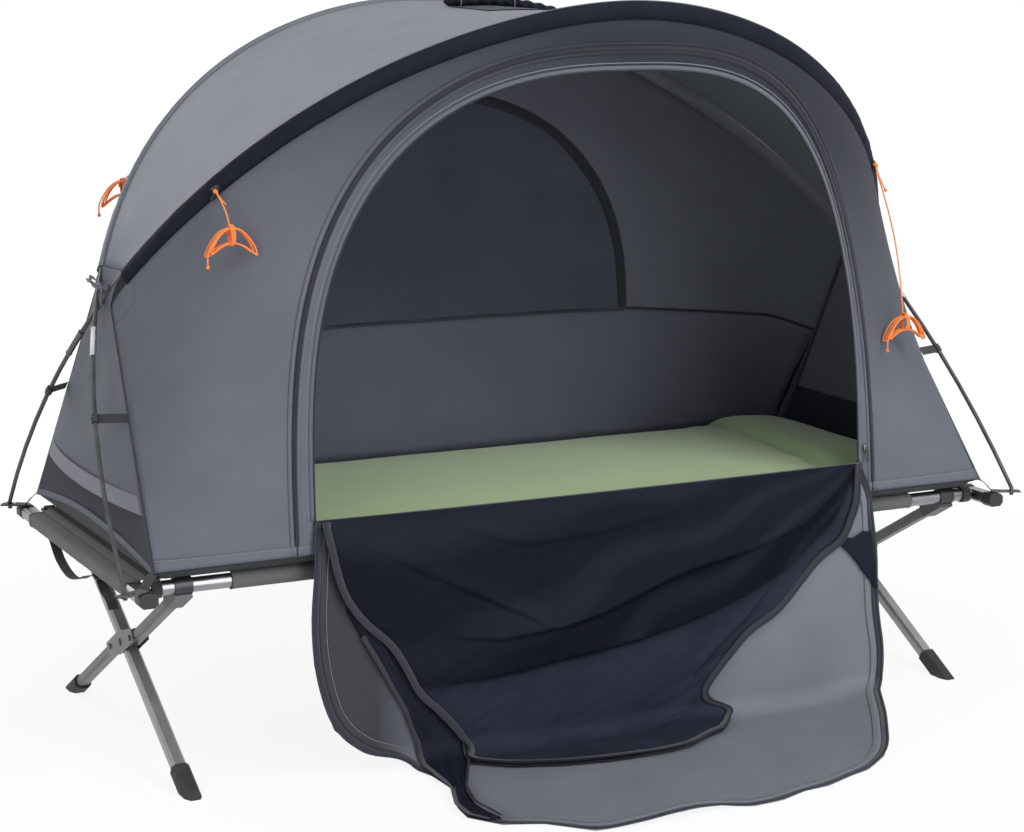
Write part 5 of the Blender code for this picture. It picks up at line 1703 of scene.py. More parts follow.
@dataclass
class Mattress:
    """The foam mattress with its raised pillow, crowned and drawn in along its sides."""

    half_length: float = 0.905
    half_width: float = 0.345
    height: float = 0.052
    low_z: float = 0.4204
    pillow_x: float = 0.632
    pillow_lean: float = 0.089
    pillow_rise: float = 0.030
    columns: int = 150
    rows: int = 58
    power: float = 6.0
    shrink: float = 0.92
    cap: float = 0.007
    pillow_slope: float = 0.018
    channel_depth: float = 0.017
    channel_width: float = 0.016
    seam_reach: float = 0.325
    piping_radius: float = 0.0022
    stitch_radius: float = 0.0011

    def past(self, x: float, y: float) -> float:
        """Return how far a place is beyond the pillow's seam."""
        return x - self.pillow_x - self.pillow_lean * y

    def crown(self, x: float, y: float, share_x: float, share_y: float) -> float:
        """Return the top's height over the middle plane."""
        edge = (1 - abs(share_x) ** self.power) * (1 - abs(share_y) ** self.power)
        rise = self.pillow_rise / (1 + exp(-self.past(x, y) / self.pillow_slope))
        return (self.height / 2 + rise) * max(edge, 0.0) ** 0.5

    def channel(self, x: float, y: float) -> float:
        """Return the depth of the sewn channel before the pillow."""
        return self.channel_depth * exp(-((self.past(x, y) / self.channel_width) ** 2))

    def shell(self, name: str) -> Object:
        """Make the closed form, a little thinner than the pad it becomes."""

        def place(u: float, v: float) -> Vector:
            share_x, share_y = sin(pi * u / 2), sin(pi * (v - 0.5))
            x = share_x * (self.half_length - 0.012 * (1 - share_y**2))
            y = share_y * (self.half_width - 0.012 * (1 - share_x**4))
            return Vector((x, y, self.crown(x, y, share_x, share_y)))

        bm = bmesh.new()
        bmesh.ops.create_grid(bm, x_segments=self.columns, y_segments=self.rows, size=0.5)
        border = [edge for edge in bm.edges if edge.is_boundary]
        rim = {vert for edge in border for vert in edge.verts}
        top = list(bm.verts)
        copied = bmesh.ops.duplicate(bm, geom=bm.faces[:])
        lower = [item for item in copied["geom"] if isinstance(item, bmesh.types.BMVert)]
        heights = {}
        for vert in (*top, *lower):
            spot = place(2 * vert.co.x, vert.co.y + 0.5)
            heights[vert] = spot.z
            vert.co = spot
        for vert in top:
            vert.co.z = 0.0 if vert in rim else heights[vert] * self.shrink
        for vert in lower:
            vert.co.z = -min(self.height / 2 * 0.96, heights[vert])
        bmesh.ops.remove_doubles(bm, verts=bm.verts, dist=0.0002)
        middle = Vector((0.0, CENTRE_Y, self.low_z + self.height / 2))
        bmesh.ops.translate(bm, verts=bm.verts, vec=middle)
        return from_bmesh(name, bm)

    def inflate(self, pad: Object) -> None:
        """Let cloth simulation swell the cover over the foam, within the cap."""
        scene = bpy.context.scene
        start = [vert.co.copy() for vert in pad.data.vertices]
        modifier = pad.modifiers.new("foam", "CLOTH")
        cloth = modifier.settings
        cloth.quality = 5
        cloth.mass = 0.25
        cloth.use_pressure = True
        cloth.uniform_pressure_force = 4.0
        cloth.effector_weights.gravity = 0.0
        cloth.tension_stiffness = 12.0
        cloth.compression_stiffness = 12.0
        cloth.shear_stiffness = 6.0
        cloth.bending_stiffness = 0.3
        for number in range(1, 21):
            scene.frame_set(number)
        apply_modifiers(pad)
        scene.frame_set(1)
        for vert, home in zip(pad.data.vertices, start):
            step = vert.co - home
            if step.length > self.cap:
                step *= self.cap / step.length
            vert.co = home + step

    def build(self) -> None:
        """Make the pad, press its channel in and sew its seams."""
        pad = self.shell("mattress_pad")
        self.inflate(pad)
        floor_z, middle_z = self.low_z + 0.0004, self.low_z + self.height / 2
        for vert in pad.data.vertices:
            x, y = vert.co.x, vert.co.y - CENTRE_Y
            inside = (1 - abs(x / self.half_length) ** 8) * (1 - abs(y / self.half_width) ** 8)
            if vert.co.z > middle_z:
                puckers = 0.0022 * sin(90 * y + 3 * sin(25 * y))
                puckers *= exp(-((self.past(x, y) / 0.05) ** 2))
                vert.co.z -= (self.channel(x, y) + puckers) * max(0.0, inside)
                vert.co.z += 0.0011 * grain(Vector((x, y, 2.0)), 9.0) * max(0.0, inside)
            vert.co.z = max(vert.co.z, floor_z)
        subdivide(pad)
        settle(pad, GREEN_COVER, "mattress")
        self.sew(pad)

    def sew(self, pad: Object) -> None:
        """Lay the piping round the pad's edge and the stitch line in the channel."""
        surface = Surface(pad)
        rim = []
        for angle in circle(220):
            across, along = powered(cos(angle), 0.12), powered(sin(angle), 0.12)
            start = Vector((across * 1.3, CENTRE_Y + along * 0.7, self.low_z + self.height / 2))
            aim = Vector((across * 0.6, CENTRE_Y + along * 0.2, start.z)) - start
            spot, _ = surface.hit(start, aim.normalized())
            rim.append(spot)
        settle(tube_piece("mattress_piping", rim, self.piping_radius, closed=True), GREEN_COVER)
        seam = []
        for i in range(91):
            y = -self.seam_reach + 2 * self.seam_reach * i / 90
            start = Vector((self.pillow_x + self.pillow_lean * y, CENTRE_Y + y, 1.0))
            spot, normal = surface.hit(start, DOWN)
            seam.append(spot + normal * 0.0004)
        settle(tube_piece("mattress_stitch", seam, self.stitch_radius), GREEN_COVER)


@dataclass
class BedCloth:
    """The bed's cloth, with sleeves that the rails run through."""

    half_length: float = 0.925
    half_width: float = 0.336
    top_z: float = 0.4148
    rail_y: float = 0.350
    rail_z: float = 0.400
    sleeve_radius: float = 0.0151
    sleeve_low: float = 0.040
    sleeve_high: float = 0.770
    tongue: float = 0.030
    tongue_share: float = 0.3
    wrap: float = radians(222)

    def build(self) -> None:
        """Make the sheet and its four rail sleeves."""

        def place(u: float, v: float) -> Vector:
            x, y = u * self.half_length, (2 * v - 1) * self.half_width
            sag = 0.0010 * abs(grain(Vector((x * 0.6, y, 1.0)), 8.0))
            return Vector((x, CENTRE_Y + y, self.top_z - sag + 0.0002))

        sheet = sheet_piece("bed_cloth_sheet", 130, 60, place, (1.85, 0.67))
        apply_modifiers(thicken(sheet, CLOTH_THICKNESS))
        settle(sheet, BED_CLOTH, "bed_cloth", body=None)
        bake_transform(sheet)
        for face, outward in FACES.items():
            for end, side in ENDS.items():
                self.rail_sleeve(face, outward, end, side)

    def rail_sleeve(self, face: str, outward: int, end: str, side: int) -> None:
        """Make one sleeve, wrapped round its rail from a tongue on the bed."""
        length = self.sleeve_high - self.sleeve_low

        def place(u: float, v: float) -> Vector:
            x = side * (self.sleeve_low + length * (u + 1) / 2)
            fold = 0.0007 * grain(Vector((x * 3.0, 4.0 * v, outward)), 8.0)
            edge = 0.0006 * exp(-(((1 - abs(u)) / 0.012) ** 2))
            radius = self.sleeve_radius + 0.0006 + abs(fold) + edge
            if v < self.tongue_share:
                y = -self.tongue * (1 - v / self.tongue_share)
                z = radius + 0.0002
            else:
                angle = pi / 2 - self.wrap * (v - self.tongue_share) / (1 - self.tongue_share)
                y, z = radius * cos(angle), radius * sin(angle)
            return Vector((x, CENTRE_Y + outward * (self.rail_y + y), self.rail_z + z))

        name = f"{face}_rail_sleeve_{end}"
        sleeve = sheet_piece(name, 120, 30, place, (length, 0.09), 0.0010, 1.0)
        body = f"{face}_frame"
        settle(sleeve, BED_CLOTH, body=body)
        for index, inset in enumerate((0.006, 0.012)):
            y = CENTRE_Y + outward * (self.rail_y - 0.014 - inset)
            z = self.rail_z + self.sleeve_radius + 0.0028
            reaches = (self.sleeve_low + 0.004, self.sleeve_high - 0.004)
            ends = [Vector((side * x, y, z)) for x in reaches]
            stitch = tube_piece(f"{name}_stitch_{index + 1}", ends, 0.0005)
            settle(stitch, CASING, body=body, slot="bed_cloth")


@dataclass
class EndBar:
    """What is on an end bar: its cloth sleeve, its flap and the loops to the rails."""

    end: str
    bar_x: float = 0.950
    bar_z: float = 0.397
    reach: float = 0.325
    half_width: float = 0.0182
    half_height: float = 0.0142
    stitch_inset: float = 0.010
    stitch_radius: float = 0.0006
    rail_y: float = 0.350
    rail_z: float = 0.400
    loop_x: float = 0.916
    loop_radius: float = 0.0162
    loop_spread: float = 0.0014
    loop_width: float = 0.020

    @property
    def side(self) -> int:
        """Return the end's side of the bed."""
        return ENDS[self.end]

    def build(self) -> None:
        """Make the sleeve and what is sewn to it."""
        self.make_sleeve()
        self.make_flap()
        for face, outward in FACES.items():
            self.make_loop(face, outward)

    def section(self, angle: float, grow: float) -> tuple[float, float]:
        """Return the sleeve's outline, a rectangle with rounded corners."""
        across = powered(cos(angle), 0.45) * (self.half_width + grow)
        return across, powered(sin(angle), 0.45) * (self.half_height + grow)

    def make_sleeve(self) -> None:
        """Make the cloth sleeve round the bar."""

        def place(u: float, v: float) -> Vector:
            angle = 2 * pi * v
            pucker = 0.0005 * sin(130 * u + 2 * sin(angle))
            pucker *= exp(-(((1 - abs(u)) / 0.15) ** 2))
            fold = 0.0009 * abs(grain(Vector((self.side, u * 1.6, 0.6 * sin(angle))), 6.0))
            across, up = self.section(angle, fold + pucker)
            return Vector((self.side * self.bar_x + across, CENTRE_Y + u * self.reach, self.bar_z + up))

        name = f"{self.end}_bar_cloth"
        sleeve = sheet_piece(name, 120, 32, place, (2 * self.reach, 0.12), 0.0010, -1.0, weld=True)
        settle(sleeve, BED_CLOTH, f"{self.end}_bar_sleeve")
        for face, outward in FACES.items():
            y, ring = CENTRE_Y + outward * (self.reach - self.stitch_inset), []
            for angle in circle(40):
                across, up = self.section(angle, 0.0010)
                ring.append(Vector((self.side * self.bar_x + across, y, self.bar_z + up)))
            stitch = tube_piece(f"{name}_stitch_{face}", ring, self.stitch_radius, closed=True)
            settle(stitch, CASING, slot="bed_cloth")

    def make_flap(self) -> None:
        """Make the flap that runs from the bar's sleeve under the tent's floor."""

        def place(u: float, v: float) -> Vector:
            x = self.bar_x - 0.012 - 0.022 * v
            z = self.bar_z + self.half_height + 0.0012 + 0.0036 * ease(v)
            return Vector((self.side * x, CENTRE_Y + u * self.reach, z))

        settle(sheet_piece(f"{self.end}_bar_flap", 60, 6, place, (2 * self.reach, 0.022), 0.0009), BED_CLOTH)

    def make_loop(self, face: str, outward: int) -> None:
        """Make the webbing loop that holds a rail's end."""
        middle = Vector((self.side * self.loop_x, CENTRE_Y + outward * self.rail_y, self.rail_z))
        path = []
        for i in range(33):
            angle = radians(-115 + 360 * i / 32)
            radius = self.loop_radius + self.loop_spread * i / 32
            path.append(middle + Vector((0, cos(angle), sin(angle))) * radius)
        loop = strap_piece(f"rail_loop_{self.end}_{face}", path, X_AXIS, self.loop_width, CLOTH_THICKNESS)
        settle(loop, TAPE, body=f"{face}_frame")


@dataclass
class CornerTab:
    """A corner's webbing tab with its eyelets."""

    end: str
    face: str
    start_x: float = 0.932
    start_y: float = 0.390
    tab_z: float = 0.4123
    lift: float = 0.0012
    eyelet_gap: float = 0.021
    eyelet_radius: float = 0.0064
    eyelet_wire: float = 0.0012
    hole_radius: float = 0.0056
    stitch_side: float = 0.0105
    stitch_radius: float = 0.0004

    def build(self) -> None:
        """Make the webbing and its eyelet rings."""
        side, outward = ENDS[self.end], FACES[self.face]
        start = Vector((side * self.start_x, CENTRE_Y + outward * self.start_y, self.tab_z))
        node = f"corner_tab_{self.end}_{self.face}"
        foot = FRONT_ARCH.point(side, 0.0) if outward > 0 else REAR_ARCH.point(side, 0.0)
        foot.z = self.tab_z
        along = (foot - start).normalized()
        tab = refined_copy(node, 0.0004)
        self.lay_map(tab, start, along)
        settle(tab, TAPE, node)
        reach = (foot - start).length
        for index, distance in enumerate((reach, reach - self.eyelet_gap)):
            self.eyelet(f"{node}_eyelet_{index + 1}", start + along * distance, index > 0)
        edge = Vector((-along.y, along.x, 0.0))
        for index, offset in enumerate((-self.stitch_side, self.stitch_side)):
            distances = (0.026, reach + 0.015)
            spots = [start + along * d + edge * offset + Vector((0, 0, self.lift)) for d in distances]
            stitch = tube_piece(f"{node}_stitch_{index + 1}", spots, self.stitch_radius)
            settle(stitch, CASING, slot="webbing")

    def lay_map(self, tab: Object, start: Vector, along: Vector) -> None:
        """Lay the weave along the tab."""
        across = Vector((-along.y, along.x, 0.0))
        layer = tab.data.uv_layers.new(name="UVMap")
        for loop in tab.data.loops:
            spot = tab.data.vertices[loop.vertex_index].co - start
            layer.data[loop.index].uv = (spot.dot(along), spot.dot(across))

    def eyelet(self, name: str, place: Vector, filled: bool) -> None:
        """Set a rolled metal ring in the webbing, and a dark disc in one that is empty."""
        radius, count = self.eyelet_radius, 28
        ring = [place + Vector((radius * cos(a), radius * sin(a), self.lift)) for a in circle(count)]
        settle(tube_piece(name, ring, self.eyelet_wire, closed=True), STEEL)
        if filled:
            bm = bmesh.new()
            bmesh.ops.create_circle(bm, cap_ends=True, segments=count, radius=self.hole_radius)
            bmesh.ops.translate(bm, verts=bm.verts, vec=place + Vector((0, 0, self.lift)))
            settle(from_bmesh(f"{name}_hole", bm), BLACK_PLASTIC)


@dataclass
class PoleFittings:
    """The poles with their ferrules, clips and ties."""

    joint_heights: tuple[float, float] = (0.80, 0.82)
    ferrule_radius: float = 0.0060
    rim_radius: float = 0.0066
    clip_z: float = 0.693
    clip_radius: float = 0.0064
    hook_wire: float = 0.0019
    cuff_radius: float = 0.0072
    strap_width: float = 0.020
    strap_thickness: float = 0.0016
    tie_z: float = 0.918
    tie_out: float = 0.010
    tie_width: float = 0.009
    wrap_half: tuple[float, float] = (0.0105, 0.015)
    wrap_width: float = 0.012

    def build(self) -> None:
        """Make the poles and everything on them."""
        for front, joint_z in zip((True, False), self.joint_heights):
            node = "front_arch_pole" if front else "rear_arch_pole"
            settle(refined_copy(node, 0.0), ROD, node)
            for end, side in ENDS.items():
                self.ferrule(front, end, side, joint_z)
        for end, side in ENDS.items():
            for face in FACES:
                self.clip(end, side, face)
            self.tie(end, side)

    def at(self, front: bool, side: int, z: float) -> tuple[Vector, Vector]:
        """Return the pole's middle and its direction at a height."""
        arch = FRONT_ARCH if front else REAR_ARCH
        t = arch.parameter((z - arch.base_z) / (arch.apex_z - arch.base_z))
        spot = arch.point(side, t)
        return spot, (arch.point(side, t + 0.004) - spot).normalized()

    def ferrule(self, front: bool, end: str, side: int, z: float) -> None:
        """Slide a metal joint sleeve on the pole."""
        steps = (-0.023, -0.0225, -0.012, 0.0, 0.012, 0.0225, 0.023)
        spots = [self.at(front, side, z + step)[0] for step in steps]
        name = f"ferrule_{'front' if front else 'back'}_{end}"
        finish = STEEL if front else FERRULE
        settle(tube_piece(name, spots, self.ferrule_radius, sides=5), finish)
        for index, step in enumerate((-0.0225, 0.0225)):
            rim = [self.at(front, side, z + step + lift)[0] for lift in (-0.0010, 0.0, 0.0010)]
            settle(tube_piece(f"{name}_rim_{index + 1}", rim, self.rim_radius, sides=5), finish)

    def clip(self, end: str, side: int, face: str) -> None:
        """Hook the wall's corner seam to the pole that runs past it."""
        pole, along = self.at(face == "back", side, self.clip_z)
        shape = FRONT_SHAPE if face == "front" else REAR_SHAPE
        foot, head = shape.point(side, 0.0).z, shape.point(side, 1.0).z
        wall = shape.point(side, (self.clip_z - foot) / (head - foot))
        wall.x = side * (abs(wall.x) + 0.002)
        toward = (pole - wall).normalized()
        across = along.cross(toward).normalized()
        out = across.cross(along).normalized()
        hook = [
            pole + (out * cos(a) + across * sin(a)) * self.clip_radius
            for a in (radians(-150 + 300 * i / 24) for i in range(25))
        ]
        name = f"pole_clip_{end}_{face}"
        settle(tube_piece(f"{name}_hook", hook, self.hook_wire, sides=4), BLACK_PLASTIC)
        wall += Vector((side * 0.0015, FACES[face] * 0.0030, 0.0))
        path = [wall.lerp(pole - toward * self.clip_radius, i / 10) for i in range(11)]
        settle(strap_piece(f"{name}_strap", path, along, self.strap_width, self.strap_thickness), TAPE)
        grip = [pole + along * step for step in (-0.0085, -0.0080, 0.0, 0.0080, 0.0085)]
        settle(tube_piece(f"{name}_cuff", grip, self.cuff_radius, sides=4), BLACK_PLASTIC)

    def tie(self, end: str, side: int) -> None:
        """Tie a tape in a bow round the poles' crossing."""
        middle = (self.at(True, side, self.tie_z)[0] + self.at(False, side, self.tie_z)[0]) / 2
        out = Vector((side, 0.0, 0.0))
        middle += out * self.tie_out
        flat = [
            (0.014, 0.064, 0.006), (0.014, 0.040, 0.007), (0.010, 0.010, 0.002), (0.012, -0.012, 0.010),
            (0.016, -0.026, 0.012), (0.014, -0.028, -0.002), (0.010, -0.010, -0.004), (0.008, 0.0, 0.0),
            (0.012, 0.012, 0.013), (0.017, 0.028, 0.016), (0.015, 0.031, 0.002), (0.010, 0.010, -0.003),
            (0.010, -0.004, -0.006), (0.012, -0.015, -0.022), (0.012, -0.024, -0.036),
        ]
        spots = [middle + out * (a - 0.006) + Vector((0, b, c)) for a, b, c in flat]
        path = smooth_path(spots, 7)
        slant = Vector((side * 0.45, 0.25, 1.0)).normalized()
        settle(strap_piece(f"crossing_tie_{end}", path, slant, self.tie_width, 0.0009), GREY_TAPE)
        heart, (deep, wide) = middle - out * self.tie_out, self.wrap_half
        band = [heart + Vector((deep * cos(a), wide * sin(a), 0.0)) for a in circle(28, 1)]
        settle(strap_piece(f"crossing_wrap_{end}", band, Z_AXIS, self.wrap_width, 0.0010), GREY_TAPE)


@dataclass
class BarStrap:
    """The strap with its ladder-lock buckle that hangs under the foot-end bar."""

    x: float = -0.938
    width: float = 0.020
    thickness: float = 0.0014
    buckle_y: float = 0.084
    buckle_z: float = 0.367
    buckle_half: tuple[float, float] = (0.014, 0.012)
    buckle_radius: float = 0.0024
    bar_radius: float = 0.0019
    run: Line = (
        (0.262, 0.3835), (0.240, 0.362), (0.197, 0.334), (0.126, 0.319), (0.060, 0.328),
        (0.000, 0.348), (-0.084, 0.367), (-0.130, 0.378), (-0.165, 0.3835),
    )
    tail: Line = (
        (-0.078, 0.3635), (-0.090, 0.352), (-0.112, 0.340), (-0.145, 0.331), (-0.160, 0.318),
    )

    def build(self) -> None:
        """Make the strap, the buckle and the loose tail."""
        for name, flat, steps in (("bar_strap", self.run, 8), ("bar_strap_tail", self.tail, 6)):
            path = smooth_path([Vector((self.x, CENTRE_Y + y, z)) for y, z in flat], steps)
            settle(strap_piece(name, path, X_AXIS, self.width, self.thickness), TAPE)
        self.buckle(Vector((self.x, CENTRE_Y - self.buckle_y, self.buckle_z)))

    def buckle(self, place: Vector) -> None:
        """Make the ladder-lock: a frame with two cross bars."""
        lean = Matrix.Rotation(radians(14), 4, "X")
        (half_x, half_y), ring = self.buckle_half, []
        for angle in circle(36):
            across, along = powered(cos(angle), 0.35) * half_x, powered(sin(angle), 0.35) * half_y
            ring.append(place + lean @ Vector((across, along, 0.0)))
        settle(tube_piece("bar_strap_buckle", ring, self.buckle_radius, closed=True), BLACK_PLASTIC)
        for index, along in enumerate((-0.004, 0.004)):
            ends = [place + lean @ Vector((across, along, 0.0018)) for across in (-half_x, 0.0, half_x)]
            settle(tube_piece(f"bar_strap_buckle_bar_{index + 1}", ends, self.bar_radius), BLACK_PLASTIC)


@dataclass
class OpenDoor:
    """The unzipped door: a cloth panel that hangs from the sill to the ground, with its net over it."""

    wall: FrontWall
    sill_z: float = 0.504
    hang_y: float = -0.402
    seat_length: float = 0.080
    bend: float = 0.045
    lift: float = 0.0022
    corner_x: float = 0.66
    left: Line = (
        (-0.612, 0.0), (-0.626, 0.108), (-0.631, 0.183), (-0.626, 0.273), (-0.609, 0.352), (-0.588, 0.406),
        (-0.547, 0.446), (-0.502, 0.473), (-0.445, 0.489), (-0.418, 0.580), (-0.413, 0.673), (-0.448, 0.759),
        (-0.454, 0.815), (-0.413, 0.876),
    )
    right: Line = (
        (0.616, 0.0), (0.639, 0.077), (0.655, 0.185), (0.658, 0.270), (0.666, 0.342), (0.681, 0.403),
        (0.681, 0.485), (0.570, 0.672), (0.469, 0.824), (0.422, 0.876),
    )
    low: Line = (
        (-0.413, 0.876), (-0.343, 0.906), (-0.277, 0.978), (-0.187, 0.989), (-0.101, 0.992), (-0.013, 0.977),
        (0.049, 0.996), (0.113, 0.992), (0.177, 0.968), (0.232, 0.964), (0.310, 0.933), (0.351, 0.921),
        (0.422, 0.876),
    )
    net_left: Line = (
        (-0.604, 0.0), (-0.590, 0.078), (-0.571, 0.145), (-0.531, 0.203), (-0.472, 0.255), (-0.438, 0.312),
        (-0.416, 0.360), (-0.361, 0.410), (-0.320, 0.462), (-0.308, 0.510), (-0.333, 0.564),
    )
    net_right: Line = (
        (0.606, 0.0), (0.598, 0.075), (0.562, 0.160), (0.506, 0.189), (0.451, 0.243), (0.403, 0.291),
        (0.331, 0.327), (0.262, 0.395), (0.221, 0.445), (0.262, 0.468), (0.290, 0.505),
    )
    net_low: Line = (
        (-0.333, 0.564), (-0.270, 0.624), (-0.186, 0.669), (-0.089, 0.691), (0.004, 0.684), (0.111, 0.674),
        (0.209, 0.622), (0.268, 0.556), (0.290, 0.505),
    )
    strip_left: Line = (
        (-0.560, 0.175), (-0.530, 0.230), (-0.488, 0.304), (-0.440, 0.390), (-0.415, 0.460), (-0.418, 0.580),
        (-0.420, 0.672), (-0.452, 0.760), (-0.454, 0.822), (-0.430, 0.858),
    )
    strip_right: Line = (
        (-0.548, 0.170), (-0.470, 0.255), (-0.430, 0.330), (-0.375, 0.400), (-0.318, 0.465), (-0.330, 0.560),
        (-0.356, 0.610), (-0.398, 0.690), (-0.418, 0.770), (-0.408, 0.862),
    )
    wing_low: Line = (
        (0.552, 0.164), (0.577, 0.184), (0.601, 0.208), (0.630, 0.244), (0.655, 0.274),
    )
    wing_high: Line = (
        (0.556, 0.146), (0.587, 0.156), (0.617, 0.144), (0.640, 0.148), (0.657, 0.266),
    )
    pleats: tuple[tuple[float, float, Line], ...] = (
        (0.010, 0.055, (
            (-0.363, 0.250), (-0.234, 0.268), (-0.101, 0.258), (-0.011, 0.240), (0.080, 0.210),
            (0.196, 0.173), (0.327, 0.148), (0.460, 0.105), (0.600, 0.006),
        )),
        (0.013, 0.085, (
            (-0.398, 0.350), (-0.211, 0.337), (-0.022, 0.315), (0.081, 0.303), (0.198, 0.276), (0.329, 0.238),
            (0.438, 0.188), (0.535, 0.112), (0.602, 0.008),
        )),
        (0.006, 0.040, (
            (-0.585, 0.004), (-0.335, 0.034), (-0.179, 0.084), (-0.019, 0.078), (0.217, 0.047),
            (0.590, 0.002),
        )),
        (0.007, 0.035, ((-0.597, 0.010), (-0.396, 0.116), (-0.223, 0.205), (-0.120, 0.258))),
        (0.008, 0.045, ((0.205, 0.400), (0.259, 0.348), (0.330, 0.293), (0.389, 0.225), (0.445, 0.180))),
    )

    def spot(self, x: float, h: float, lift: float) -> Vector:
        """Return a place on the hung panel.

        Args:
            x: the place along the bed.
            h: the distance down the panel from the sill, as if it bent sharply at the ground.
            lift: the height over the panel's face.

        Returns:
            The place.
        """
        hang = self.sill_z - self.bend
        turn = self.bend * pi / 2
        along = h - (2 * self.bend - turn) * ease((h - hang) / 0.09)
        from_right = atan2(h + 0.02, self.corner_x - x)
        from_left = atan2(h + 0.02, x + self.corner_x)
        fan = sin(9.0 * from_right + 0.8) * exp(-((x - 0.45) / 0.55) ** 2)
        fan += sin(8.0 * from_left + 0.3) * exp(-((x + 0.5) / 0.40) ** 2)
        drift = grain(Vector((x * 1.1, h * 0.8, 3.3)), 5.0)
        wave = 0.010 * (fan * 0.55 + drift * 0.9) * min(1.0, h / 0.10)
        seat = self.wall.on(x, self.sill_z, 0.0).y - CENTRE_Y - 0.0035
        free = ease(h / self.seat_length)
        face = seat + free * (self.hang_y - seat)
        ground = 0.014 * max(0.0, fan * 0.5 + drift * 0.8 + 0.10) ** 1.5
        if along < hang:
            return Vector((x, CENTRE_Y + face + wave - lift, self.sill_z - along))
        if along < hang + turn:
            angle = (along - hang) / self.bend
            share = sin(angle)
            y = face - self.bend * (1 - cos(angle)) + wave * cos(angle) - lift * cos(angle)
            z = self.bend * (1 - share) + (self.lift + ground + lift) * share
            return Vector((x, CENTRE_Y + y, z))
        y = face - self.bend - (along - hang - turn)
        return Vector((x, CENTRE_Y + y, self.lift + ground + lift))

    @staticmethod
    def trace(points: Line, share: float) -> Vector:
        """Return the place at a share of a line's length."""
        spots = [Vector((a, b, 0.0)) for a, b in points]
        steps = [(b - a).length for a, b in zip(spots, spots[1:])]
        want = share * sum(steps)
        for a, b, step in zip(spots, spots[1:], steps):
            if want <= step:
                return a.lerp(b, want / step)
            want -= step
        return spots[-1]

    def patch(self, left: Sequence, right: Sequence, low: Sequence, u: float, v: float) -> Vector:
        """Return the flat place at u across and v down a panel with three shaped edges."""
        share = (u + 1) / 2
        top = Vector((*left[0], 0.0)).lerp(Vector((*right[0], 0.0)), share)
        bottom = self.trace(low, share)
        beside = self.trace(left, v).lerp(self.trace(right, v), share)
        corners = top * (1 - v)
        corners += Vector((*left[-1], 0.0)).lerp(Vector((*right[-1], 0.0)), share) * v
        return top * (1 - v) + bottom * v + beside - corners

    def build(self) -> None:
        """Make the panel, its zip edge, the net over it and the net's edge."""

        def cloth(u: float, v: float) -> Vector:
            flat = self.patch(self.left, self.right, self.low, u, v)
            return self.spot(flat.x, flat.y, 0.0)

        panel = sheet_piece("door_panel", 150, 120, cloth, (1.28, 0.99), CLOTH_THICKNESS)
        settle(panel, DOOR_CLOTH, "door_drape")
        outline = [*self.left, *self.low[1:], *reversed(self.right[:-1])]
        self.edging("door_panel_tape", outline, 0.0, 0.013, 0.0014, BINDING)
        self.edging("door_panel_coil", outline, -0.002, 0.003, 0.0030, ZIP_COIL)
        self.edging("door_panel_hem", outline, 0.014, 0.030, 0.0012, DOOR_CLOTH)
        self.edging("door_panel_stitch", outline, 0.0275, 0.0285, 0.0022, CASING, "door_cloth")

        def netting(u: float, v: float) -> Vector:
            flat = self.patch(self.net_left, self.net_right, self.net_low, u, v)
            return self.spot(flat.x, flat.y, self.net_lift(flat.x, flat.y, ease(v / 0.12)))

        # The net's layers value: two layers, painted shadow under its pleats and painted highlight streaks.
        def shade(u: float, v: float) -> float:
            flat = self.patch(self.net_left, self.net_right, self.net_low, u, v)
            return self.layers(flat.x, flat.y)

        size = (1.25, 0.70)
        net = sheet_piece("door_net", 190, 130, netting, size)
        mark(net, size, shade)
        settle(thicken(net, NET_THICKNESS), DOOR_NET)
        outline = [*self.net_left, *self.net_low[1:], *reversed(self.net_right[:-1])]
        self.edging("door_net_tape", outline, -0.002, 0.012, 0.0145, BINDING)
        self.edging("door_net_coil", outline, -0.003, 0.001, 0.0160, ZIP_COIL)
        self.make_wing()
        self.make_strip()

    def net_lift(self, x: float, h: float, spread: float) -> float:
        """Return how far the net stands off the panel, with its crumples and its long pleats."""
        crumple = 0.005 * abs(grain(Vector((x * 1.6 + h * 0.6, h * 1.0, 8.0)), 6.0))
        crumple += 0.003 * abs(grain(Vector((x * 1.0, h * 2.2 + x, 5.0)), 13.0))
        rays = atan2(h + 0.03, self.corner_x - x)
        pull = 0.0030 * (1 + sin(23.0 * rays)) * exp(-(((x - 0.35) / 0.40) ** 2))
        pleats = 0.0
        for height, width, line in self.pleats:
            above = self.over(line, x, h)
            if above is not None:
                ends = min(1.0, (x - line[0][0]) / 0.20, (line[-1][0] - x) / 0.06)
                fall = max(0.0, 1 - above / width) ** 1.3 if above > 0 else max(0.0, 1 + above / 0.007)
                pleats += height * fall * max(0.0, ends)
        return 0.0026 + spread * (0.002 + crumple + pull + pleats)

    @staticmethod
    def over(line: Line, x: float, h: float) -> float | None:
        """Return how far a place lies up the panel from a pleat's line, or None beyond its ends."""
        height = height_on(line, x)
        return None if height is None else height - h

    def layers(self, x: float, h: float) -> float:
        """Return how dark the net is, from 0 to 1, where it lies in two layers, with painted shadow under its
        pleats and painted highlights.
        """
        line = self.pleats[1][2]
        within = min(max(x, line[0][0]), line[-1][0])
        above = self.over(line, within, h) or 0.0
        first = self.over(self.pleats[0][2], within, h)
        # Painted highlight: lighter streaks that fan out from the right corner.
        rays = atan2(h + 0.03, self.corner_x - x)
        highlight_streak = max(0.0, sin(27.0 * rays + 2.5 * grain(Vector((x, h, 1.0)), 4.0)))
        dark = (0.82 - 0.26 * highlight_streak) * ease(above / 0.008 + 0.5)
        if first is not None and first < 0 < above:
            dark += 0.18 * ease((x - line[0][0]) / 0.25)
        # Painted shadow: a dark band just under each pleat's line.
        for height, _, crease in self.pleats:
            below = self.over(crease, x, h)
            if below is not None and below < 0:
                dark = max(dark, 70.0 * height * exp(below / 0.012))
        return min(1.0, dark)

    def make_wing(self) -> None:
        """Stretch the net's dark corner across to the panel's edge."""

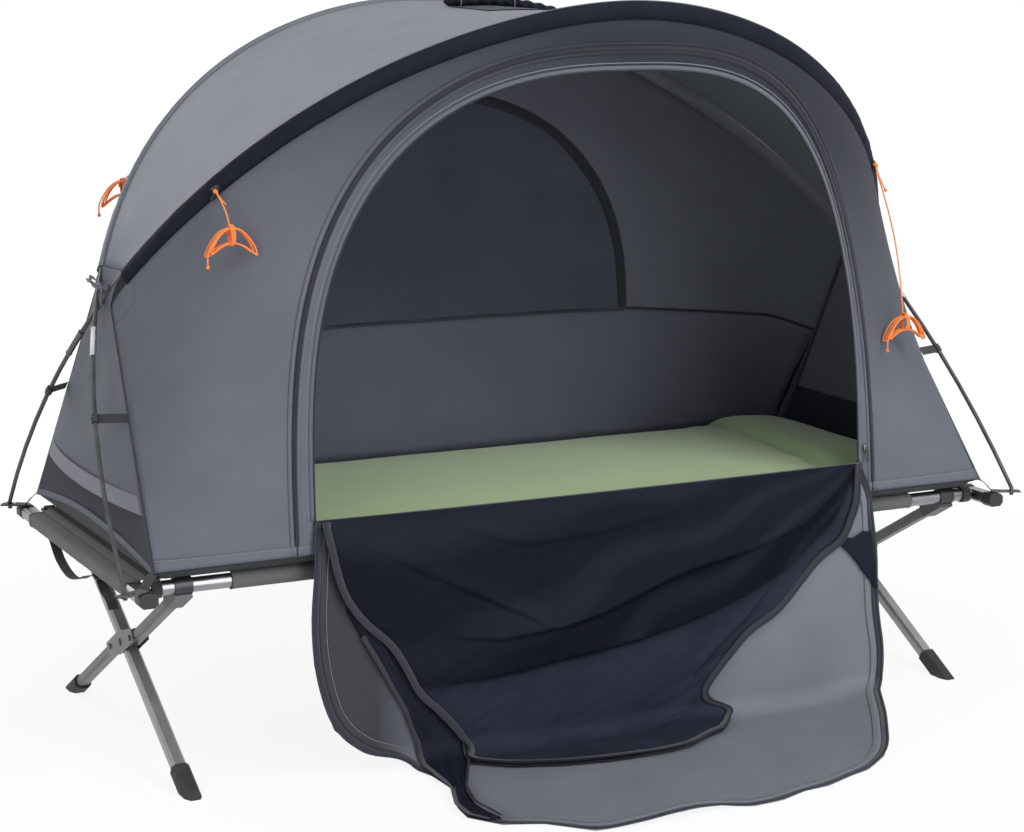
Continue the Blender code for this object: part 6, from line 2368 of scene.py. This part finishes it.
        def place(u: float, v: float) -> Vector:
            share = (u + 1) / 2
            flat = self.trace(self.wing_low, share).lerp(self.trace(self.wing_high, share), v)
            return self.spot(flat.x, flat.y, 0.0060 + 0.0015 * sin(pi * v))

        wing = sheet_piece("door_net_wing", 48, 10, place, (0.16, 0.04), TAPE_THICKNESS)
        settle(wing, DARK_CLOTH)

    def make_strip(self) -> None:
        """Lay the net's long dark zip strip from the left corner down to the ground."""

        def place(u: float, v: float) -> Vector:
            flat = self.trace(self.strip_left, v).lerp(self.trace(self.strip_right, v), (u + 1) / 2)
            fold = 0.003 * ridge(u * 1.5 + v * 3.0) + 0.003 * abs(grain(Vector((u, v * 6.0, 4.0)), 2.0))
            return self.spot(flat.x, flat.y, 0.0030 + 0.006 * sin(pi * (u + 1) / 2) + fold)

        strip = sheet_piece("door_net_strip", 20, 110, place, (0.07, 0.85), NET_THICKNESS)
        settle(strip, DARK_CLOTH)
        self.edging("door_strip_coil", self.strip_right[1:], -0.002, 0.004, 0.0120, ZIP_COIL)
        self.edging("door_strip_tape", self.strip_left[1:], -0.002, 0.008, 0.0080, BINDING)

    def edging(
        self,
        name: str,
        outline: Line,
        near: float,
        far: float,
        lift: float,
        finish: Finish,
        slot: str = "",
    ) -> None:
        """Lay a strip along a panel's free edge.

        Args:
            name: the piece's name.
            outline: the edge.
            near: how far in from the edge it begins.
            far: how far in from the edge it ends.
            lift: its height over the panel's face.
            finish: its finish.
            slot: the record's material slot, where it isn't the finish's own.
        """
        count, reach = 320, 4
        spots = [self.trace(outline, i / count) for i in range(count + 1)]
        smooth = []
        for i in range(count + 1):
            beside = [spots[max(0, min(count, i + k))] for k in range(-reach, reach + 1)]
            smooth.append(sum(beside, Vector()) / len(beside))
        smooth[0], smooth[-1] = spots[0], spots[-1]

        def place(u: float, v: float) -> Vector:
            index = round((u + 1) / 2 * count)
            before, after = smooth[max(0, index - 3)], smooth[min(count, index + 3)]
            along = (after - before).normalized()
            inward = Vector((-along.y, along.x, 0.0))
            if inward.dot(Vector((0.0, 0.42, 0.0)) - smooth[index]) < 0:
                inward = -inward
            flat = smooth[index] + inward * (near + (far - near) * v)
            return self.spot(flat.x, max(0.0, flat.y), lift + 0.0006 * sin(pi * v))

        strip = sheet_piece(name, count, 3, place, (path_length(smooth), far - near), TAPE_THICKNESS)
        settle(strip, finish, slot=slot)


@dataclass
class ZipPull:
    """The zip's slider with its wire and pull."""

    length: float = 0.024
    tab_width: float = 0.006
    tab_thickness: float = 0.0016
    wire_radius: float = 0.0007

    def build(self) -> None:
        """Make the slider's finished body, its wire and the tab."""
        node = "zip_slider"
        settle(refined_copy(node, 0.0005), STEEL, node, body=node, slot="black_plastic")
        low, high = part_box(node)
        top = Vector(((low.x + high.x) / 2, low.y - 0.0004, (low.z + high.z) / 2 + 0.002))
        wire = [
            top + Vector((0.0026 * cos(a), -0.002 - 0.001 * sin(a), 0.004 * sin(a) - 0.003))
            for a in circle(20)
        ]
        settle(tube_piece("zip_pull_wire", wire, self.wire_radius, closed=True), STEEL, body=node)
        path = [top + Vector((0.0, -0.003 - 0.0012 * i / 8, -0.006 - self.length * i / 8)) for i in range(9)]
        tab = strap_piece("zip_pull_tab", path, X_AXIS, self.tab_width, self.tab_thickness)
        settle(tab, BLACK_PLASTIC, body=node)


@dataclass
class RigidParts:
    """The cot's metal, plastic and rubber parts."""

    rules: tuple[tuple[str, Finish, float], ...] = (
        ("rail_bracket", DARK_STEEL, 0.0006),
        ("crossing_bracket", STEEL, 0.0005),
        ("pivot_rivet", STEEL, 0.0006),
        ("bar_cap", BLACK_PLASTIC, 0.0010),
        ("_foot_foot_end", RUBBER, 0.0014),
        ("_foot_middle", RUBBER, 0.0014),
        ("_foot_pillow_end", RUBBER, 0.0014),
        ("long_leg", LONG_LEG_METAL, 0.0004),
        ("short_leg", SHADED_SHORT_LEG_METAL, 0.0004),
        ("front_rail", ALUMINIUM, 0.0003),
        ("back_rail", ALUMINIUM, 0.0003),
    )

    def build(self) -> None:
        """Finish every rigid node by the first rule that its name meets."""
        for node, body in HOME.items():
            for marker, finish, bevel in self.rules:
                if marker in node:
                    settle(refined_copy(node, bevel), finish, node, body=body)
                    break
        for node in (f"{end}_bar" for end in ENDS):
            settle(refined_copy(node, 0.0004), BAR_METAL, node)


def main() -> None:
    """Build the tent cot from its cords to its smallest fittings."""
    logging.basicConfig(level=logging.INFO, format="%(name)s: %(message)s")
    Studio().build()
    Guyline(True, -1, (0.74074, -0.2352, 1.1145), -0.30745, 0.060).build()
    Guyline(True, 1, (0.74074, -0.2352, 1.1145), -0.35121, 0.310).build()
    for side in ENDS.values():
        Guyline(False, side, (0.74903, 0.23522, 1.11453), 0.29924, 0.020).build()
    front = FrontWall("front_wall_cloth", FRONT_SHAPE, "front_wall", FRONT_CLOTH)
    front.build()
    RearWall("rear_wall_cloth", REAR_SHAPE, "rear_wall").build()
    PoleSleeve("front_sleeve_cloth", FRONT_SHAPE, "front_pole_sleeve", DARK_CLOTH).build()
    PoleSleeve("rear_sleeve_cloth", REAR_SHAPE, "rear_pole_sleeve", ROOF_CLOTH).build()
    Roof(FRONT_SHAPE, REAR_SHAPE).build()
    for end in ENDS:
        EndWall(end).build()
        EndBar(end).build()
        for face in FACES:
            CornerTab(end, face).build()
    BedCloth().build()
    TentFloor().build()
    Mattress().build()
    OpenDoor(front).build()
    PoleFittings().build()
    BarStrap().build()
    ZipPull().build()
    RigidParts().build()


if __name__ == "__main__":
    main()
